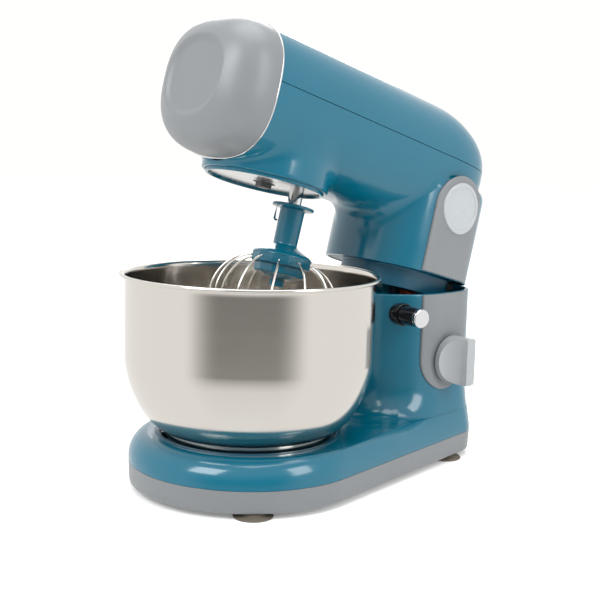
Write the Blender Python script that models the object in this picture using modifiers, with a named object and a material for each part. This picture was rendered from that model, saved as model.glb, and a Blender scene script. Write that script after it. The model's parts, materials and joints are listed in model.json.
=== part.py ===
"""Tilt-head stand mixer: a weighted base with a column, a bowl, a tilting head and a whisk.

Units are metres, +Z up. The front, where the bowl stands, faces -Y and the speed knob +X.
The head is modelled level, as it stands when it is shut, under an empty on the hinge axis.
That empty then tilts the whole head back by OPEN_TILT, the pose in which the mixer rests.
"""
import math

import bmesh
import bpy
import numpy as np

MM = 0.001
GAP = 0.3 * MM
WALL = 3 * MM
MERGE_DISTANCE = 0.01 * MM

# Points round each lofted outline.
PLAN_POINTS = 44
BARREL_POINTS = 36

# Places on the plan: the bowl's axis is x = 0, y = 0 under the empty called bowl_axis.
BOWL_AXIS_Y = -79.6 * MM
COLUMN_Y = 182 * MM
HINGE_Y = 236 * MM
HINGE_Z = 190 * MM
OPEN_TILT = math.radians(15)
PIN_RADIUS = 4 * MM
EYE_RADIUS = 6 * MM

# Plan outlines: each is the convex hull of circles (x, y, radius).
BASE_CIRCLES = ((0, 0, 106 * MM), (33 * MM, 215 * MM, 37 * MM), (-33 * MM, 215 * MM, 37 * MM))
COLUMN_CIRCLES = (
    (0, COLUMN_Y, 64 * MM),
    (25 * MM, 211 * MM, 38.5 * MM),
    (-25 * MM, 211 * MM, 38.5 * MM),
)

# Heights of the base and the column.
TRAY_BOTTOM_Z = 5 * MM
TRAY_TOP_Z = 24.5 * MM
PLATFORM_Z = 48 * MM
FILLET_TOP_Z = 76 * MM
COLUMN_TOP_Z = 165.5 * MM
DECK_Z = 132 * MM
EDGE_RADIUS = 20 * MM
FILLET_RADIUS = 25 * MM
SEAT_RADIUS = 83 * MM
SEAT_INNER_RADIUS = 78.5 * MM
SEAT_FLOOR_Z = 37 * MM

# Head, level. The barrel is a superellipse section swept along Y.
ARM_BOTTOM_Z = 168 * MM
ARM_TOP_Z = 272 * MM
BARREL_Z = 273 * MM
BARREL_WIDTH = 60 * MM
BARREL_HEIGHT = 59 * MM
BARREL_POWER = 2.6
BARREL_FRONT_Y = -56.5 * MM
BARREL_STRAIGHT_Y = 167 * MM
BARREL_REAR = 85 * MM
SEAM_Z = 280 * MM
CAP_DEPTH = 45.5 * MM
DISH_RADIUS = 34 * MM
HOUSING_RADIUS = 56.5 * MM
HOUSING_BOTTOM_Z = 208.5 * MM
HOUSING_TOP_Z = 262 * MM
CARRIER_LOW_Z = 206 * MM
SKIRT_INSET = 15 * MM
SKIRT_BOTTOM_Z = 148 * MM

# Drive train: an internal ring gear, a planet gear and a belt from the motor.
GEAR_MODULE = 2.286 * MM
RING_TEETH = 43
PLANET_TEETH = 8
SHAFT_OFFSET = GEAR_MODULE * (RING_TEETH - PLANET_TEETH) / 2
SHAFT_RADIUS = 6.5 * MM
SPINDLE_RADIUS = 5 * MM
SPINDLE_TOP_Z = 264 * MM
PULLEY_RADIUS = 44 * MM
MOTOR_PULLEY_RADIUS = 8 * MM
BELT_THICKNESS = 1.6 * MM
BELT_CLEARANCE = 0.7 * MM
ADDENDUM = 1.4 * MM
DEDENDUM = 1.9 * MM
TOOTH_HALF = 1.55 * MM
# Half-widths of a tooth at its tip and foot, as shares of the one at half height.
TIP_SHARE = 0.5
FOOT_SHARE = 1.4
# Along +Y, where the gears mesh, the ring has a gap and the planet has a tooth.
PLANET_PHASE = math.pi / 2
RING_PHASE = math.pi / 2 + math.pi / RING_TEETH
GEARBOX_PLATE_LOW_Z = 246 * MM
GEARBOX_PLATE_HIGH_Z = 250 * MM
PULLEY_LOW_Z = 253 * MM
PULLEY_HIGH_Z = 262 * MM

# Bowl.
RIM_RADIUS = 115 * MM
BOWL_RADIUS = 110 * MM
BOWL_TOP_Z = 190 * MM
BOWL_WALL = 0.9 * MM
BOWL_FOOT_RADIUS = 75 * MM
BOWL_POWER = 1.67
# The bowl's three lugs, and how far it turns to its way out, in degrees.
LUG_COUNT = 3
LUG_ANGLE = 90
BOWL_TWIST = 30

# Whisk, measured down from the top of its flange.
FLANGE_Z = 196.4 * MM
SOCKET_DEPTH = 34 * MM
SHAFT_DEPTH = 28 * MM
HUB_RADIUS = 27.4 * MM
WIRE_RADIUS = 1.0 * MM
WIRE_SWELL = 57 * MM
WHISK_DEPTH = 136 * MM
LOOP_COUNT = 6
WIRE_STEPS = 10
LOOP_STEP = 2.5 * MM

# Controls on the column's right side.
TRIM_Y = 191 * MM
TRIM_HALF_WIDTH = 31 * MM
TRIM_THICKNESS = 1.6 * MM
TRIM_CLEARANCE = 1.0 * MM
BADGE_Z = 235 * MM
BADGE_RADIUS = 24.5 * MM
KNOB_Y = 197 * MM
KNOB_Z = 101 * MM
KNOB_RADIUS = 23 * MM
KNOB_BACK_X = 67 * MM
KNOB_LENGTH = 25.5 * MM
KNOB_SHAFT_RADIUS = 3 * MM
BUTTON_Y = 143 * MM
BUTTON_Z = 147 * MM
BUTTON_X = 48 * MM
BUTTON_YAW = math.radians(-10)
BUTTON_RADIUS = 8.75 * MM
STEM_LENGTH = 29 * MM
COLLAR_RADIUS = 10.5 * MM
COLLAR_BORE = 9.2 * MM

# Cable grommet in the back wall.
GLAND_Y = 229 * MM
GLAND_Z = 36 * MM

# Feet: front pair and rear pair (x, y).
FEET = (
    ("foot_front_right", 74 * MM, -56 * MM),
    ("foot_front_left", -74 * MM, -56 * MM),
    ("foot_rear_right", 58 * MM, 204 * MM),
    ("foot_rear_left", -58 * MM, 204 * MM),
)

# Colours are linear RGB.
MATERIALS = {
    "blue_plastic": ((0.004, 0.155, 0.30), 0.18, 0.0),
    "dark_blue_plastic": ((0.003, 0.07, 0.13), 0.35, 0.0),
    "grey_plastic": ((0.26, 0.28, 0.29), 0.38, 0.0),
    "light_grey_plastic": ((0.42, 0.44, 0.45), 0.35, 0.0),
    "black_plastic": ((0.012, 0.012, 0.014), 0.3, 0.0),
    "red_plastic": ((0.45, 0.03, 0.02), 0.4, 0.0),
    "foot_rubber": ((0.10, 0.085, 0.065), 0.6, 0.0),
    "belt_rubber": ((0.02, 0.02, 0.02), 0.7, 0.0),
    "knob_silver": ((0.45, 0.47, 0.48), 0.35, 0.8),
    "chrome": ((0.75, 0.75, 0.76), 0.08, 1.0),
    "polished_steel": ((0.62, 0.60, 0.57), 0.16, 1.0),
    "dark_steel": ((0.22, 0.22, 0.23), 0.4, 1.0),
    "cast_aluminium": ((0.55, 0.56, 0.57), 0.45, 1.0),
    "gear_plastic": ((0.70, 0.68, 0.60), 0.5, 0.0),
    "bronze": ((0.50, 0.30, 0.12), 0.4, 1.0),
    "board_green": ((0.02, 0.15, 0.05), 0.5, 0.0),
}


# ---------------------------------------------------------------- scene and helpers

def clear_scene():
    for obj in list(bpy.data.objects):
        bpy.data.objects.remove(obj, do_unlink=True)


def make_collection(name):
    collection = bpy.data.collections.new(name)
    bpy.context.scene.collection.children.link(collection)
    return collection


clear_scene()
PARTS = make_collection("stand_mixer")
CUTTERS = make_collection("cutters")


def make_material(name):
    color, roughness, metallic = MATERIALS[name]
    material = bpy.data.materials.new(name)
    material.use_nodes = True
    shader = material.node_tree.nodes["Principled BSDF"]
    shader.inputs["Base Color"].default_value = (*color, 1.0)
    shader.inputs["Roughness"].default_value = roughness
    shader.inputs["Metallic"].default_value = metallic
    return material


def make_empty(name, parent, location, rotation=(0, 0, 0)):
    empty = bpy.data.objects.new(name, None)
    empty.location = location
    empty.rotation_euler = rotation
    empty.parent = parent
    PARTS.objects.link(empty)
    return empty


def place(mesh, name, parent, material, location=(0, 0, 0), rotation=(0, 0, 0)):
    """Put a mesh into the scene as the sub-part called name, with its own material."""
    obj = bpy.data.objects.new(name, mesh)
    obj.location = location
    obj.rotation_euler = rotation
    obj.parent = parent
    if material is None:
        CUTTERS.objects.link(obj)
        obj.hide_render = True
        obj.display_type = "WIRE"
        return obj
    own = make_material(material)
    own.name = name + "_" + material
    mesh.materials.append(own)
    PARTS.objects.link(obj)
    return obj


def finish_mesh(bm, name, smooth_angle=35):
    """Turn a bmesh into a mesh with outward faces, smooth but for its sharp edges."""
    bmesh.ops.recalc_face_normals(bm, faces=bm.faces)
    mesh = bpy.data.meshes.new(name)
    bm.to_mesh(mesh)
    bm.free()
    mesh.shade_smooth()
    mesh.set_sharp_from_angle(angle=math.radians(smooth_angle))
    return mesh


def box_mesh(name, low, high):
    bm = bmesh.new()
    bmesh.ops.create_cube(bm, size=1)
    size = np.subtract(high, low)
    centre = np.add(high, low) / 2
    bmesh.ops.scale(bm, vec=size, verts=bm.verts)
    bmesh.ops.translate(bm, vec=centre, verts=bm.verts)
    return finish_mesh(bm, name)


def rod_mesh(name, radius, low, high, sides=16):
    """Cylinder along Z from low to high."""
    bm = bmesh.new()
    bmesh.ops.create_cone(
        bm, cap_ends=True, segments=sides, radius1=radius, radius2=radius, depth=high - low)
    bmesh.ops.translate(bm, vec=(0, 0, (low + high) / 2), verts=bm.verts)
    return finish_mesh(bm, name)


def loft_mesh(name, rings, closed=False):
    """Skin over rings of equal point count; closed joins the last ring to the first."""
    bm = bmesh.new()
    rows = [[bm.verts.new(point) for point in ring] for ring in rings]
    following = rows[1:] + rows[:1] if closed else rows[1:]
    for lower, upper in zip(rows, following):
        count = len(lower)
        for i in range(count):
            j = (i + 1) % count
            bm.faces.new((lower[i], lower[j], upper[j], upper[i]))
    if not closed:
        bm.faces.new(rows[0])
        bm.faces.new(rows[-1])
    return finish_mesh(bm, name)


def turned(name, profile, parent, material, steps=32, ring=False, **placing):
    """Turn a profile of (radius, z) about Z; a ring's profile is a closed loop."""
    mesh = bpy.data.meshes.new(name)
    count = len(profile)
    edges = [(i, i + 1) for i in range(count - 1)]
    if ring:
        edges.append((count - 1, 0))
    mesh.from_pydata([(radius, 0, z) for radius, z in profile], edges, [])
    obj = place(mesh, name, parent, material, **placing)
    screw = obj.modifiers.new("turn", "SCREW")
    screw.steps = steps
    screw.render_steps = steps
    screw.use_merge_vertices = True
    screw.merge_threshold = MERGE_DISTANCE
    screw.use_smooth_shade = True
    return obj


def cut(obj, cutter, operation="DIFFERENCE", solver="EXACT"):
    boolean = obj.modifiers.new(cutter.name, "BOOLEAN")
    boolean.operation = operation
    boolean.solver = solver
    boolean.object = cutter


def box_cutter(name, parent, low, high):
    return place(box_mesh(name, low, high), name, parent, None)


def rod_cutter(name, parent, radius, low, high, sides=16, **placing):
    return place(rod_mesh(name, radius, low, high, sides), name, parent, None, **placing)


# ---------------------------------------------------------------- outlines

def hull_outline(circles, inset, samples=720):
    """Points around the convex hull of circles, starting behind, set in by inset."""
    turn = np.linspace(0, 2 * math.pi, samples, endpoint=False) + math.pi / 2
    normals = np.stack([np.cos(turn), np.sin(turn)], axis=1)
    centres = np.array([circle[:2] for circle in circles])
    radii = np.array([circle[2] for circle in circles])
    nearest = np.argmax(normals @ centres.T + radii, axis=1)
    return centres[nearest] + (radii[nearest] - inset)[:, None] * normals


def resample(outline, count):
    """Evenly spaced points along a closed outline."""
    closed = np.vstack([outline, outline[:1]])
    lengths = np.hypot(*np.diff(closed, axis=0).T)
    travelled = np.concatenate([[0], np.cumsum(lengths)])
    wanted = np.linspace(0, travelled[-1], count, endpoint=False)
    return np.stack([np.interp(wanted, travelled, closed[:, k]) for k in (0, 1)], axis=1)


def ring_at(outline, z):
    return [(x, y, z) for x, y in outline]


def column_outline(inset):
    return resample(hull_outline(COLUMN_CIRCLES, inset), PLAN_POINTS)


def polar_reach(outline, directions):
    """Distance from the column's centre to an outline, in each unit direction."""
    offsets = outline - (0, COLUMN_Y)
    angles = np.arctan2(offsets[:, 1], offsets[:, 0])
    order = np.argsort(angles)
    wanted = np.arctan2(directions[:, 1], directions[:, 0])
    reach = np.hypot(*offsets.T)
    return np.interp(wanted, angles[order], reach[order], period=2 * math.pi)


def superellipse(half_width, half_height, power, count):
    """Points (x, z) around a superellipse."""
    turn = np.linspace(0, 2 * math.pi, count, endpoint=False)
    cosine = np.cos(turn)
    sine = np.sin(turn)
    x = half_width * np.sign(cosine) * np.abs(cosine) ** (2 / power)
    z = half_height * np.sign(sine) * np.abs(sine) ** (2 / power)
    return np.stack([x, z], axis=1)


def column_side_x(y):
    """Half-width of the column's plan at a place along Y."""
    outline = hull_outline(COLUMN_CIRCLES, 0, samples=1440)
    side = outline[outline[:, 0] > 0]
    order = np.argsort(side[:, 1])
    return np.interp(y, side[order, 1], side[order, 0])


# ---------------------------------------------------------------- base and column

def base_tray(root):
    """Grey band round the foot of the base, with its floor: an open tray."""
    draft = 1 * MM
    floor = 3 * MM
    levels = (
        (draft, TRAY_BOTTOM_Z), (0, TRAY_TOP_Z), (WALL, TRAY_TOP_Z), (WALL + draft, TRAY_BOTTOM_Z + floor))
    rings = []
    for inset, z in levels:
        rings.append(ring_at(resample(hull_outline(BASE_CIRCLES, inset), PLAN_POINTS), z))
    place(loft_mesh("base_tray", rings), "base_tray", root, "grey_plastic")


def foot(root, name, x, y):
    """Rubber suction foot: a short neck that flares into a hollow lip."""
    top = TRAY_BOTTOM_Z - GAP
    profile = (
        (0, top), (10 * MM, top), (11.5 * MM, 3 * MM), (15 * MM, 2 * MM),
        (17 * MM, 1.2 * MM), (17 * MM, 0), (12 * MM, 0), (0, 1.6 * MM))
    turned(name, profile, root, "foot_rubber", steps=14, location=(x, y, 0))


def housing_skin(inset, steps):
    """Rings from the base's edge, over the platform and its fillet, to the column's top."""
    base = hull_outline(BASE_CIRCLES, inset)
    edge = resample(base, PLAN_POINTS)
    offsets = edge - (0, COLUMN_Y)
    far = np.hypot(*offsets.T)
    directions = offsets / far[:, None]
    near = polar_reach(resample(hull_outline(COLUMN_CIRCLES, inset), 720), directions)
    depth = far - near
    softness = np.clip(depth / (60 * MM), 0, 1)
    power = 2 / (1 + softness ** 2 * (3 - 2 * softness))
    edge_run = np.minimum(EDGE_RADIUS, 0.45 * depth)
    fillet_run = np.minimum(FILLET_RADIUS, 0.5 * depth)

    def ring(run, z):
        points = (0, COLUMN_Y) + directions * (far - run)[:, None]
        return np.column_stack([points, z])

    flat = np.ones_like(depth)
    rings = [ring(0 * flat, flat * (TRAY_TOP_Z + GAP))]
    for turn in np.linspace(0, math.pi / 2, steps):
        rise = EDGE_RADIUS * math.sin(turn) ** power
        run = edge_run * (1 - math.cos(turn) ** power)
        rings.append(ring(run, PLATFORM_Z - EDGE_RADIUS - inset + rise))
    for turn in np.linspace(0, math.pi / 2, steps):
        drop = (FILLET_TOP_Z - PLATFORM_Z) * math.cos(turn) ** power
        run = depth - fillet_run * (1 - math.sin(turn) ** power)
        rings.append(ring(run, FILLET_TOP_Z - inset - drop))
    rings.append(ring(depth, flat * COLUMN_TOP_Z))
    return rings


def base_housing(root):
    """Blue shell: the platform under the bowl and the hollow column behind it."""
    outer = housing_skin(0, 4)
    inner = housing_skin(WALL, 2)
    housing = place(
        loft_mesh("base_housing", outer + inner[::-1], closed=True), "base_housing", root, "blue_plastic")
    cut(housing, rod_cutter("cut_seat", root, SEAT_RADIUS, 30 * MM, 60 * MM, sides=40))
    cut(housing, knob_hole(root, "cut_housing_knob"))
    cut(housing, button_hole(root, "cut_housing_button"))
    gland_place = {"location": (0, GLAND_Y, GLAND_Z), "rotation": (-math.pi / 2, 0, 0)}
    cut(housing, rod_cutter("cut_gland", root, 7 * MM, 0, 40 * MM, **gland_place))


def bowl_seat(root):
    """Dish let into the platform, in which the bowl's foot stands."""
    outer = SEAT_RADIUS - GAP
    rim_z = PLATFORM_Z + 0.5 * MM
    profile = (
        (outer, rim_z), (outer, SEAT_FLOOR_Z - WALL), (6 * MM, SEAT_FLOOR_Z - WALL),
        (6 * MM, SEAT_FLOOR_Z), (SEAT_INNER_RADIUS, SEAT_FLOOR_Z), (SEAT_INNER_RADIUS, rim_z))
    turned("bowl_seat", profile, root, "dark_blue_plastic", steps=40, ring=True)


def bowl_lock_ring(root):
    """Lip inside the seat that holds the bowl's lugs down, with three ways in."""
    low = 42.5 * MM
    high = 45.5 * MM
    outer = SEAT_INNER_RADIUS - GAP
    profile = ((outer, high), (outer, low), (72 * MM, low), (72 * MM, high))
    lip = turned("bowl_lock_ring", profile, root, "dark_blue_plastic", steps=36, ring=True)
    for i in range(LUG_COUNT):
        angle = math.radians(360 / LUG_COUNT * i + LUG_ANGLE + BOWL_TWIST)
        name = "cut_lug_way_%d" % (i + 1)
        way = box_cutter(name, root, (68 * MM, -11 * MM, low - MM), (77 * MM, 11 * MM, high + MM))
        way.rotation_euler = (0, 0, angle)
        cut(lip, way)


def column_deck(root):
    """Plate across the column that carries the hinge brackets and the latch."""
    outline = column_outline(WALL + 2 * MM)
    rings = [ring_at(outline, DECK_Z), ring_at(outline, DECK_Z + WALL)]
    place(loft_mesh("column_deck", rings), "column_deck", root, "black_plastic")


def knob_hole(root, name):
    turn = (0, math.pi / 2, 0)
    return rod_cutter(name, root, 4 * MM, 50 * MM, 75 * MM, location=(0, KNOB_Y, KNOB_Z), rotation=turn)


def button_hole(root, name):
    hole = rod_cutter(name, root, COLLAR_RADIUS + GAP, -14 * MM, 40 * MM, sides=24)
    hole.location = (BUTTON_X, BUTTON_Y, BUTTON_Z)
    hole.rotation_euler = (0, math.pi / 2, BUTTON_YAW)
    return hole


def side_patch(name, parent, material, rows, clearance, thickness, side):
    """Plate that follows the column's side: rows of (y, z) points, laid on at a clearance."""
    bm = bmesh.new()
    grid = []
    for row in rows:
        xs = column_side_x(np.array([y for y, z in row])) + clearance
        grid.append([bm.verts.new((side * x, y, z)) for x, (y, z) in zip(xs, row)])
    for lower, upper in zip(grid, grid[1:]):
        for i in range(len(lower) - 1):
            bm.faces.new((lower[i], lower[i + 1], upper[i + 1], upper[i]))
    bmesh.ops.remove_doubles(bm, verts=bm.verts, dist=MERGE_DISTANCE)
    for face in bm.faces:
        face.normal_update()
        if face.normal.x * side < 0:
            face.normal_flip()
    mesh = bpy.data.meshes.new(name)
    bm.to_mesh(mesh)
    bm.free()
    obj = place(mesh, name, parent, material)
    solidify = obj.modifiers.new("thickness", "SOLIDIFY")
    solidify.thickness = thickness
    solidify.offset = 1
    return obj


def trim_rows(straight_z, round_z, columns=13, levels=4):
    """Grid of a plate with one straight end and one round end about round_z."""
    rows = []
    for level in np.linspace(0, 1, levels):
        row = []
        for turn in np.linspace(math.pi, 0, columns):
            y = TRIM_Y + TRIM_HALF_WIDTH * math.cos(turn)
            reach = TRIM_HALF_WIDTH * math.sin(turn)
            end = round_z + math.copysign(reach, round_z - straight_z)
            row.append((y, straight_z + level * (end - straight_z)))
        rows.append(row)
    return rows


def disc_rows(y, z, radius, sides=20, levels=2):
    """Polar grid of a round plate; its first row is the centre."""
    rows = []
    for level in np.linspace(0, 1, levels + 1):
        turns = np.linspace(0, 2 * math.pi, sides + 1)
        rows.append([(y + radius * level * math.cos(t), z + radius * level * math.sin(t)) for t in turns])
    return rows


def column_trims(root):
    """Grey panels let onto both sides of the column; the right one carries the knob."""
    rows = trim_rows(COLUMN_TOP_Z - 0.5 * MM, 72 * MM + TRIM_HALF_WIDTH)
    panel = side_patch(
        "control_panel", root, "grey_plastic", rows, TRIM_CLEARANCE, TRIM_THICKNESS, 1)
    cut(panel, knob_hole(root, "cut_panel_knob"))
    side_patch("column_trim_left", root, "grey_plastic", rows, TRIM_CLEARANCE, TRIM_THICKNESS, -1)


def speed_switch(root):
    """Rotary switch behind the control panel."""
    half = 13 * MM
    low = (42 * MM, KNOB_Y - half, KNOB_Z - half)
    high = (58 * MM, KNOB_Y + half, KNOB_Z + half)
    body = place(box_mesh("speed_switch", low, high), "speed_switch", root, "black_plastic")
    bore = rod_cutter("cut_switch_bore", root, KNOB_SHAFT_RADIUS + 0.4 * MM, 45 * MM, 75 * MM)
    bore.location = (0, KNOB_Y, KNOB_Z)
    bore.rotation_euler = (0, math.pi / 2, 0)
    cut(body, bore)


def control_board(root):
    """Speed control board that stands in the column."""
    low = (-30 * MM, 135 * MM, 62 * MM)
    high = (30 * MM, 137 * MM, 122 * MM)
    place(box_mesh("control_board", low, high), "control_board", root, "board_green")


def latch_block(root):
    """Upright catch that the head's latch closes on."""
    low = (8 * MM, 146 * MM, DECK_Z + WALL + GAP)
    high = (22 * MM, 158 * MM, 176 * MM)
    place(box_mesh("latch_block", low, high), "latch_block", root, "blue_plastic")


def safety_switch(root):
    """Small plunger switch that stops the motor while the head is open."""
    low = (28 * MM, 164 * MM, DECK_Z + WALL + GAP)
    high = (38 * MM, 176 * MM, 166.5 * MM)
    place(box_mesh("safety_switch", low, high), "safety_switch", root, "red_plastic")


def hinge_brackets(root):
    """Two steel lugs on the deck, either side of the head's knuckle, and their pin."""
    for side, name in ((1, "hinge_bracket_right"), (-1, "hinge_bracket_left")):
        inner = side * 22.5 * MM
        outer = side * 32 * MM
        low = (min(inner, outer), HINGE_Y - 6 * MM, DECK_Z + WALL + GAP)
        high = (max(inner, outer), HINGE_Y + 3 * MM, HINGE_Z)
        bracket = place(box_mesh(name, low, high), name, root, "dark_steel")
        eye = rod_cutter("join_eye_" + name, root, EYE_RADIUS, low[0], high[0])
        eye.location = (0, HINGE_Y, HINGE_Z)
        eye.rotation_euler = (0, math.pi / 2, 0)
        cut(bracket, eye, "UNION")
        bore = rod_cutter("cut_eye_" + name, root, PIN_RADIUS + GAP, -40 * MM, 40 * MM)
        bore.location = (0, HINGE_Y, HINGE_Z)
        bore.rotation_euler = (0, math.pi / 2, 0)
        cut(bracket, bore)
    pin = rod_mesh("hinge_pin", PIN_RADIUS, -33 * MM, 33 * MM)
    place(pin, "hinge_pin", root, "chrome", (0, HINGE_Y, HINGE_Z), (0, math.pi / 2, 0))


def release_collar(root):
    """Black guide sleeve of the head release, let into the column's wall."""
    profile = (
        (COLLAR_RADIUS, 7.5 * MM), (COLLAR_RADIUS, -3 * MM), (COLLAR_BORE, -3 * MM), (COLLAR_BORE, 7.5 * MM))
    turned(
        "release_collar", profile, root, "black_plastic", steps=24, ring=True,
        location=(BUTTON_X, BUTTON_Y, BUTTON_Z), rotation=(0, math.pi / 2, BUTTON_YAW))


def cable_gland(root):
    """Grommet at the back, low down, where a mains cable enters."""
    profile = (
        (9 * MM, 27 * MM), (9 * MM, 23.8 * MM), (6.6 * MM, 23.8 * MM), (6.6 * MM, 8 * MM),
        (3.6 * MM, 8 * MM), (3.6 * MM, 27 * MM))
    turned(
        "cable_gland", profile, root, "black_plastic", steps=20, ring=True,
        location=(0, GLAND_Y, GLAND_Z), rotation=(-math.pi / 2, 0, 0))


# ---------------------------------------------------------------- controls that move

def knob(root):
    """Speed knob: a round back scooped from both sides to leave an upright grip."""
    axis = make_empty("knob_axis", root, (0, KNOB_Y, KNOB_Z))
    turn = (0, math.pi / 2, 0)
    body = place(
        rod_mesh("speed_knob", KNOB_RADIUS, KNOB_BACK_X, KNOB_BACK_X + KNOB_LENGTH, 40),
        "speed_knob", axis, "knob_silver", rotation=turn)
    grip = 6 * MM
    scoop = 21 * MM
    for side, name in ((1, "cut_scoop_rear"), (-1, "cut_scoop_front")):
        centre = (KNOB_BACK_X + KNOB_LENGTH + 0.5 * MM, side * (grip + scoop), 0)
        cut(body, rod_cutter(name, axis, scoop, -30 * MM, 30 * MM, sides=40, location=centre))
    cut(body, rod_cutter("cut_knob_bore", axis, KNOB_SHAFT_RADIUS + GAP, 60 * MM, KNOB_BACK_X + 8 * MM, rotation=turn))
    shaft = rod_mesh("knob_shaft", KNOB_SHAFT_RADIUS, 46 * MM, KNOB_BACK_X + 7.5 * MM, 16)
    place(shaft, "knob_shaft", axis, "dark_steel", rotation=turn)


def release_button(root):
    """Head release: a black plunger with a chrome end."""
    axis = make_empty(
        "button_axis", root, (BUTTON_X, BUTTON_Y, BUTTON_Z), (0, math.pi / 2, BUTTON_YAW))
    inner_end = -4 * MM
    stem = ((0, STEM_LENGTH), (BUTTON_RADIUS, STEM_LENGTH), (BUTTON_RADIUS, inner_end), (0, inner_end))
    turned("release_stem", stem, axis, "black_plastic", steps=24)
    low = STEM_LENGTH + GAP
    end = (
        (0, low + 4 * MM), (BUTTON_RADIUS - 1.2 * MM, low + 4 * MM),
        (BUTTON_RADIUS - 0.3 * MM, low + 3.4 * MM), (BUTTON_RADIUS, low + 2.6 * MM),
        (BUTTON_RADIUS, low), (0, low))
    turned("release_cap", end, axis, "chrome", steps=24)


# ---------------------------------------------------------------- bowl

def bowl(root):
    """Steel bowl: rolled rim, straight wall, round bottom, and a foot with three lugs."""
    inner = BOWL_RADIUS - BOWL_WALL
    low_z = 118 * MM
    floor_z = 50.2 * MM
    foot_radius = 74 * MM
    turns = np.linspace(0, math.pi / 2, 6)
    outer_curve = [
        (foot_radius + (BOWL_RADIUS - foot_radius) * math.cos(t) ** (2 / BOWL_POWER),
         low_z - (low_z - floor_z - 2 * MM) * math.sin(t) ** (2 / BOWL_POWER)) for t in turns]
    inner_curve = [
        (foot_radius + (inner - foot_radius) * math.cos(t) ** (2 / BOWL_POWER),
         low_z - (low_z - floor_z - 2 * MM - BOWL_WALL) * math.sin(t) ** (2 / BOWL_POWER)) for t in turns]
    rim = (
        (BOWL_RADIUS, BOWL_TOP_Z - 1.0 * MM), (RIM_RADIUS - 2 * MM, BOWL_TOP_Z),
        (RIM_RADIUS, BOWL_TOP_Z - 1.5 * MM), (RIM_RADIUS - 0.6 * MM, BOWL_TOP_Z - 3.2 * MM),
        (RIM_RADIUS - 2.4 * MM, BOWL_TOP_Z - 2.6 * MM), (BOWL_RADIUS + 1 * MM, BOWL_TOP_Z - 2.6 * MM),
        (BOWL_RADIUS, BOWL_TOP_Z - 5 * MM))
    bottom = ((0, floor_z + 2 * MM), (0, floor_z + 2 * MM + BOWL_WALL))
    inner_top = ((inner, BOWL_TOP_Z - 4 * MM),)
    profile = list(rim) + outer_curve + list(bottom) + inner_curve[::-1] + list(inner_top)
    open_profile = rotate_to_axis(profile, bottom)
    turned("bowl", open_profile, root, "polished_steel", steps=40)


def rotate_to_axis(profile, bottom):
    """Start a loop at its inner point on the axis and end it at its outer one."""
    start = profile.index(bottom[1])
    return profile[start:] + profile[:start]


def bowl_foot(root):
    """Ring under the bowl with bayonet lugs that turn under the seat's lip."""
    top = 51.7 * MM
    profile = (
        (BOWL_FOOT_RADIUS, top), (BOWL_FOOT_RADIUS, 46.5 * MM), (70 * MM, 46 * MM), (70 * MM, 38.2 * MM),
        (66 * MM, 38.2 * MM), (66 * MM, top))
    foot_ring = turned("bowl_foot", profile, root, "polished_steel", steps=36, ring=True)
    for i in range(LUG_COUNT):
        low = (68 * MM, -8 * MM, 38.4 * MM)
        high = (76 * MM, 8 * MM, 41.6 * MM)
        name = "join_lug_%d" % (i + 1)
        lug = box_cutter(name, root, low, high)
        lug.rotation_euler = (0, 0, math.radians(360 / LUG_COUNT * i + LUG_ANGLE))
        cut(foot_ring, lug, "UNION")


# ---------------------------------------------------------------- head

def barrel_rings(inset, front_y):
    """Sections of the head along Y; the rear one closes down to a round end."""
    section = superellipse(BARREL_WIDTH - inset, BARREL_HEIGHT - inset, BARREL_POWER, BARREL_POINTS)
    rings = [[(x, front_y, BARREL_Z + z) for x, z in section]]
    for turn in np.radians((0, 22, 42, 58, 72, 83, 88)):
        along = math.sin(turn)
        wide = (1 - along ** 3) ** (1 / 3)
        high = math.cos(turn)
        y = BARREL_STRAIGHT_Y + (BARREL_REAR - inset) * along
        rings.append([(x * wide, y, BARREL_Z + z * high) for x, z in section])
    return rings


def arm_mesh(name, inset, bottom_z):
    outline = column_outline(inset)
    shoulder = column_outline(inset + 8 * MM)
    top = ARM_TOP_Z - inset
    return loft_mesh(name, [ring_at(outline, bottom_z), ring_at(outline, 240 * MM), ring_at(shoulder, top)])


def hollow_head(head, obj, solver="EXACT"):
    """Take the hollow inside of the head out of a solid that has its outer shape."""
    rings = barrel_rings(WALL, BARREL_FRONT_Y - 10 * MM)
    inside = place(loft_mesh("cut_barrel", rings), "cut_barrel_" + obj.name, head, None)
    cut(obj, inside, solver=solver)


def head_top_cover(head):
    """Upper shell of the head, above the seam."""
    cover = place(
        loft_mesh("head_top_cover", barrel_rings(0, BARREL_FRONT_Y)), "head_top_cover", head, "blue_plastic")
    hollow_head(head, cover)
    below = box_cutter(
        "cut_below_seam", head, (-90 * MM, -80 * MM, 200 * MM), (90 * MM, 270 * MM, SEAM_Z + GAP / 2))
    cut(cover, below)


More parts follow.
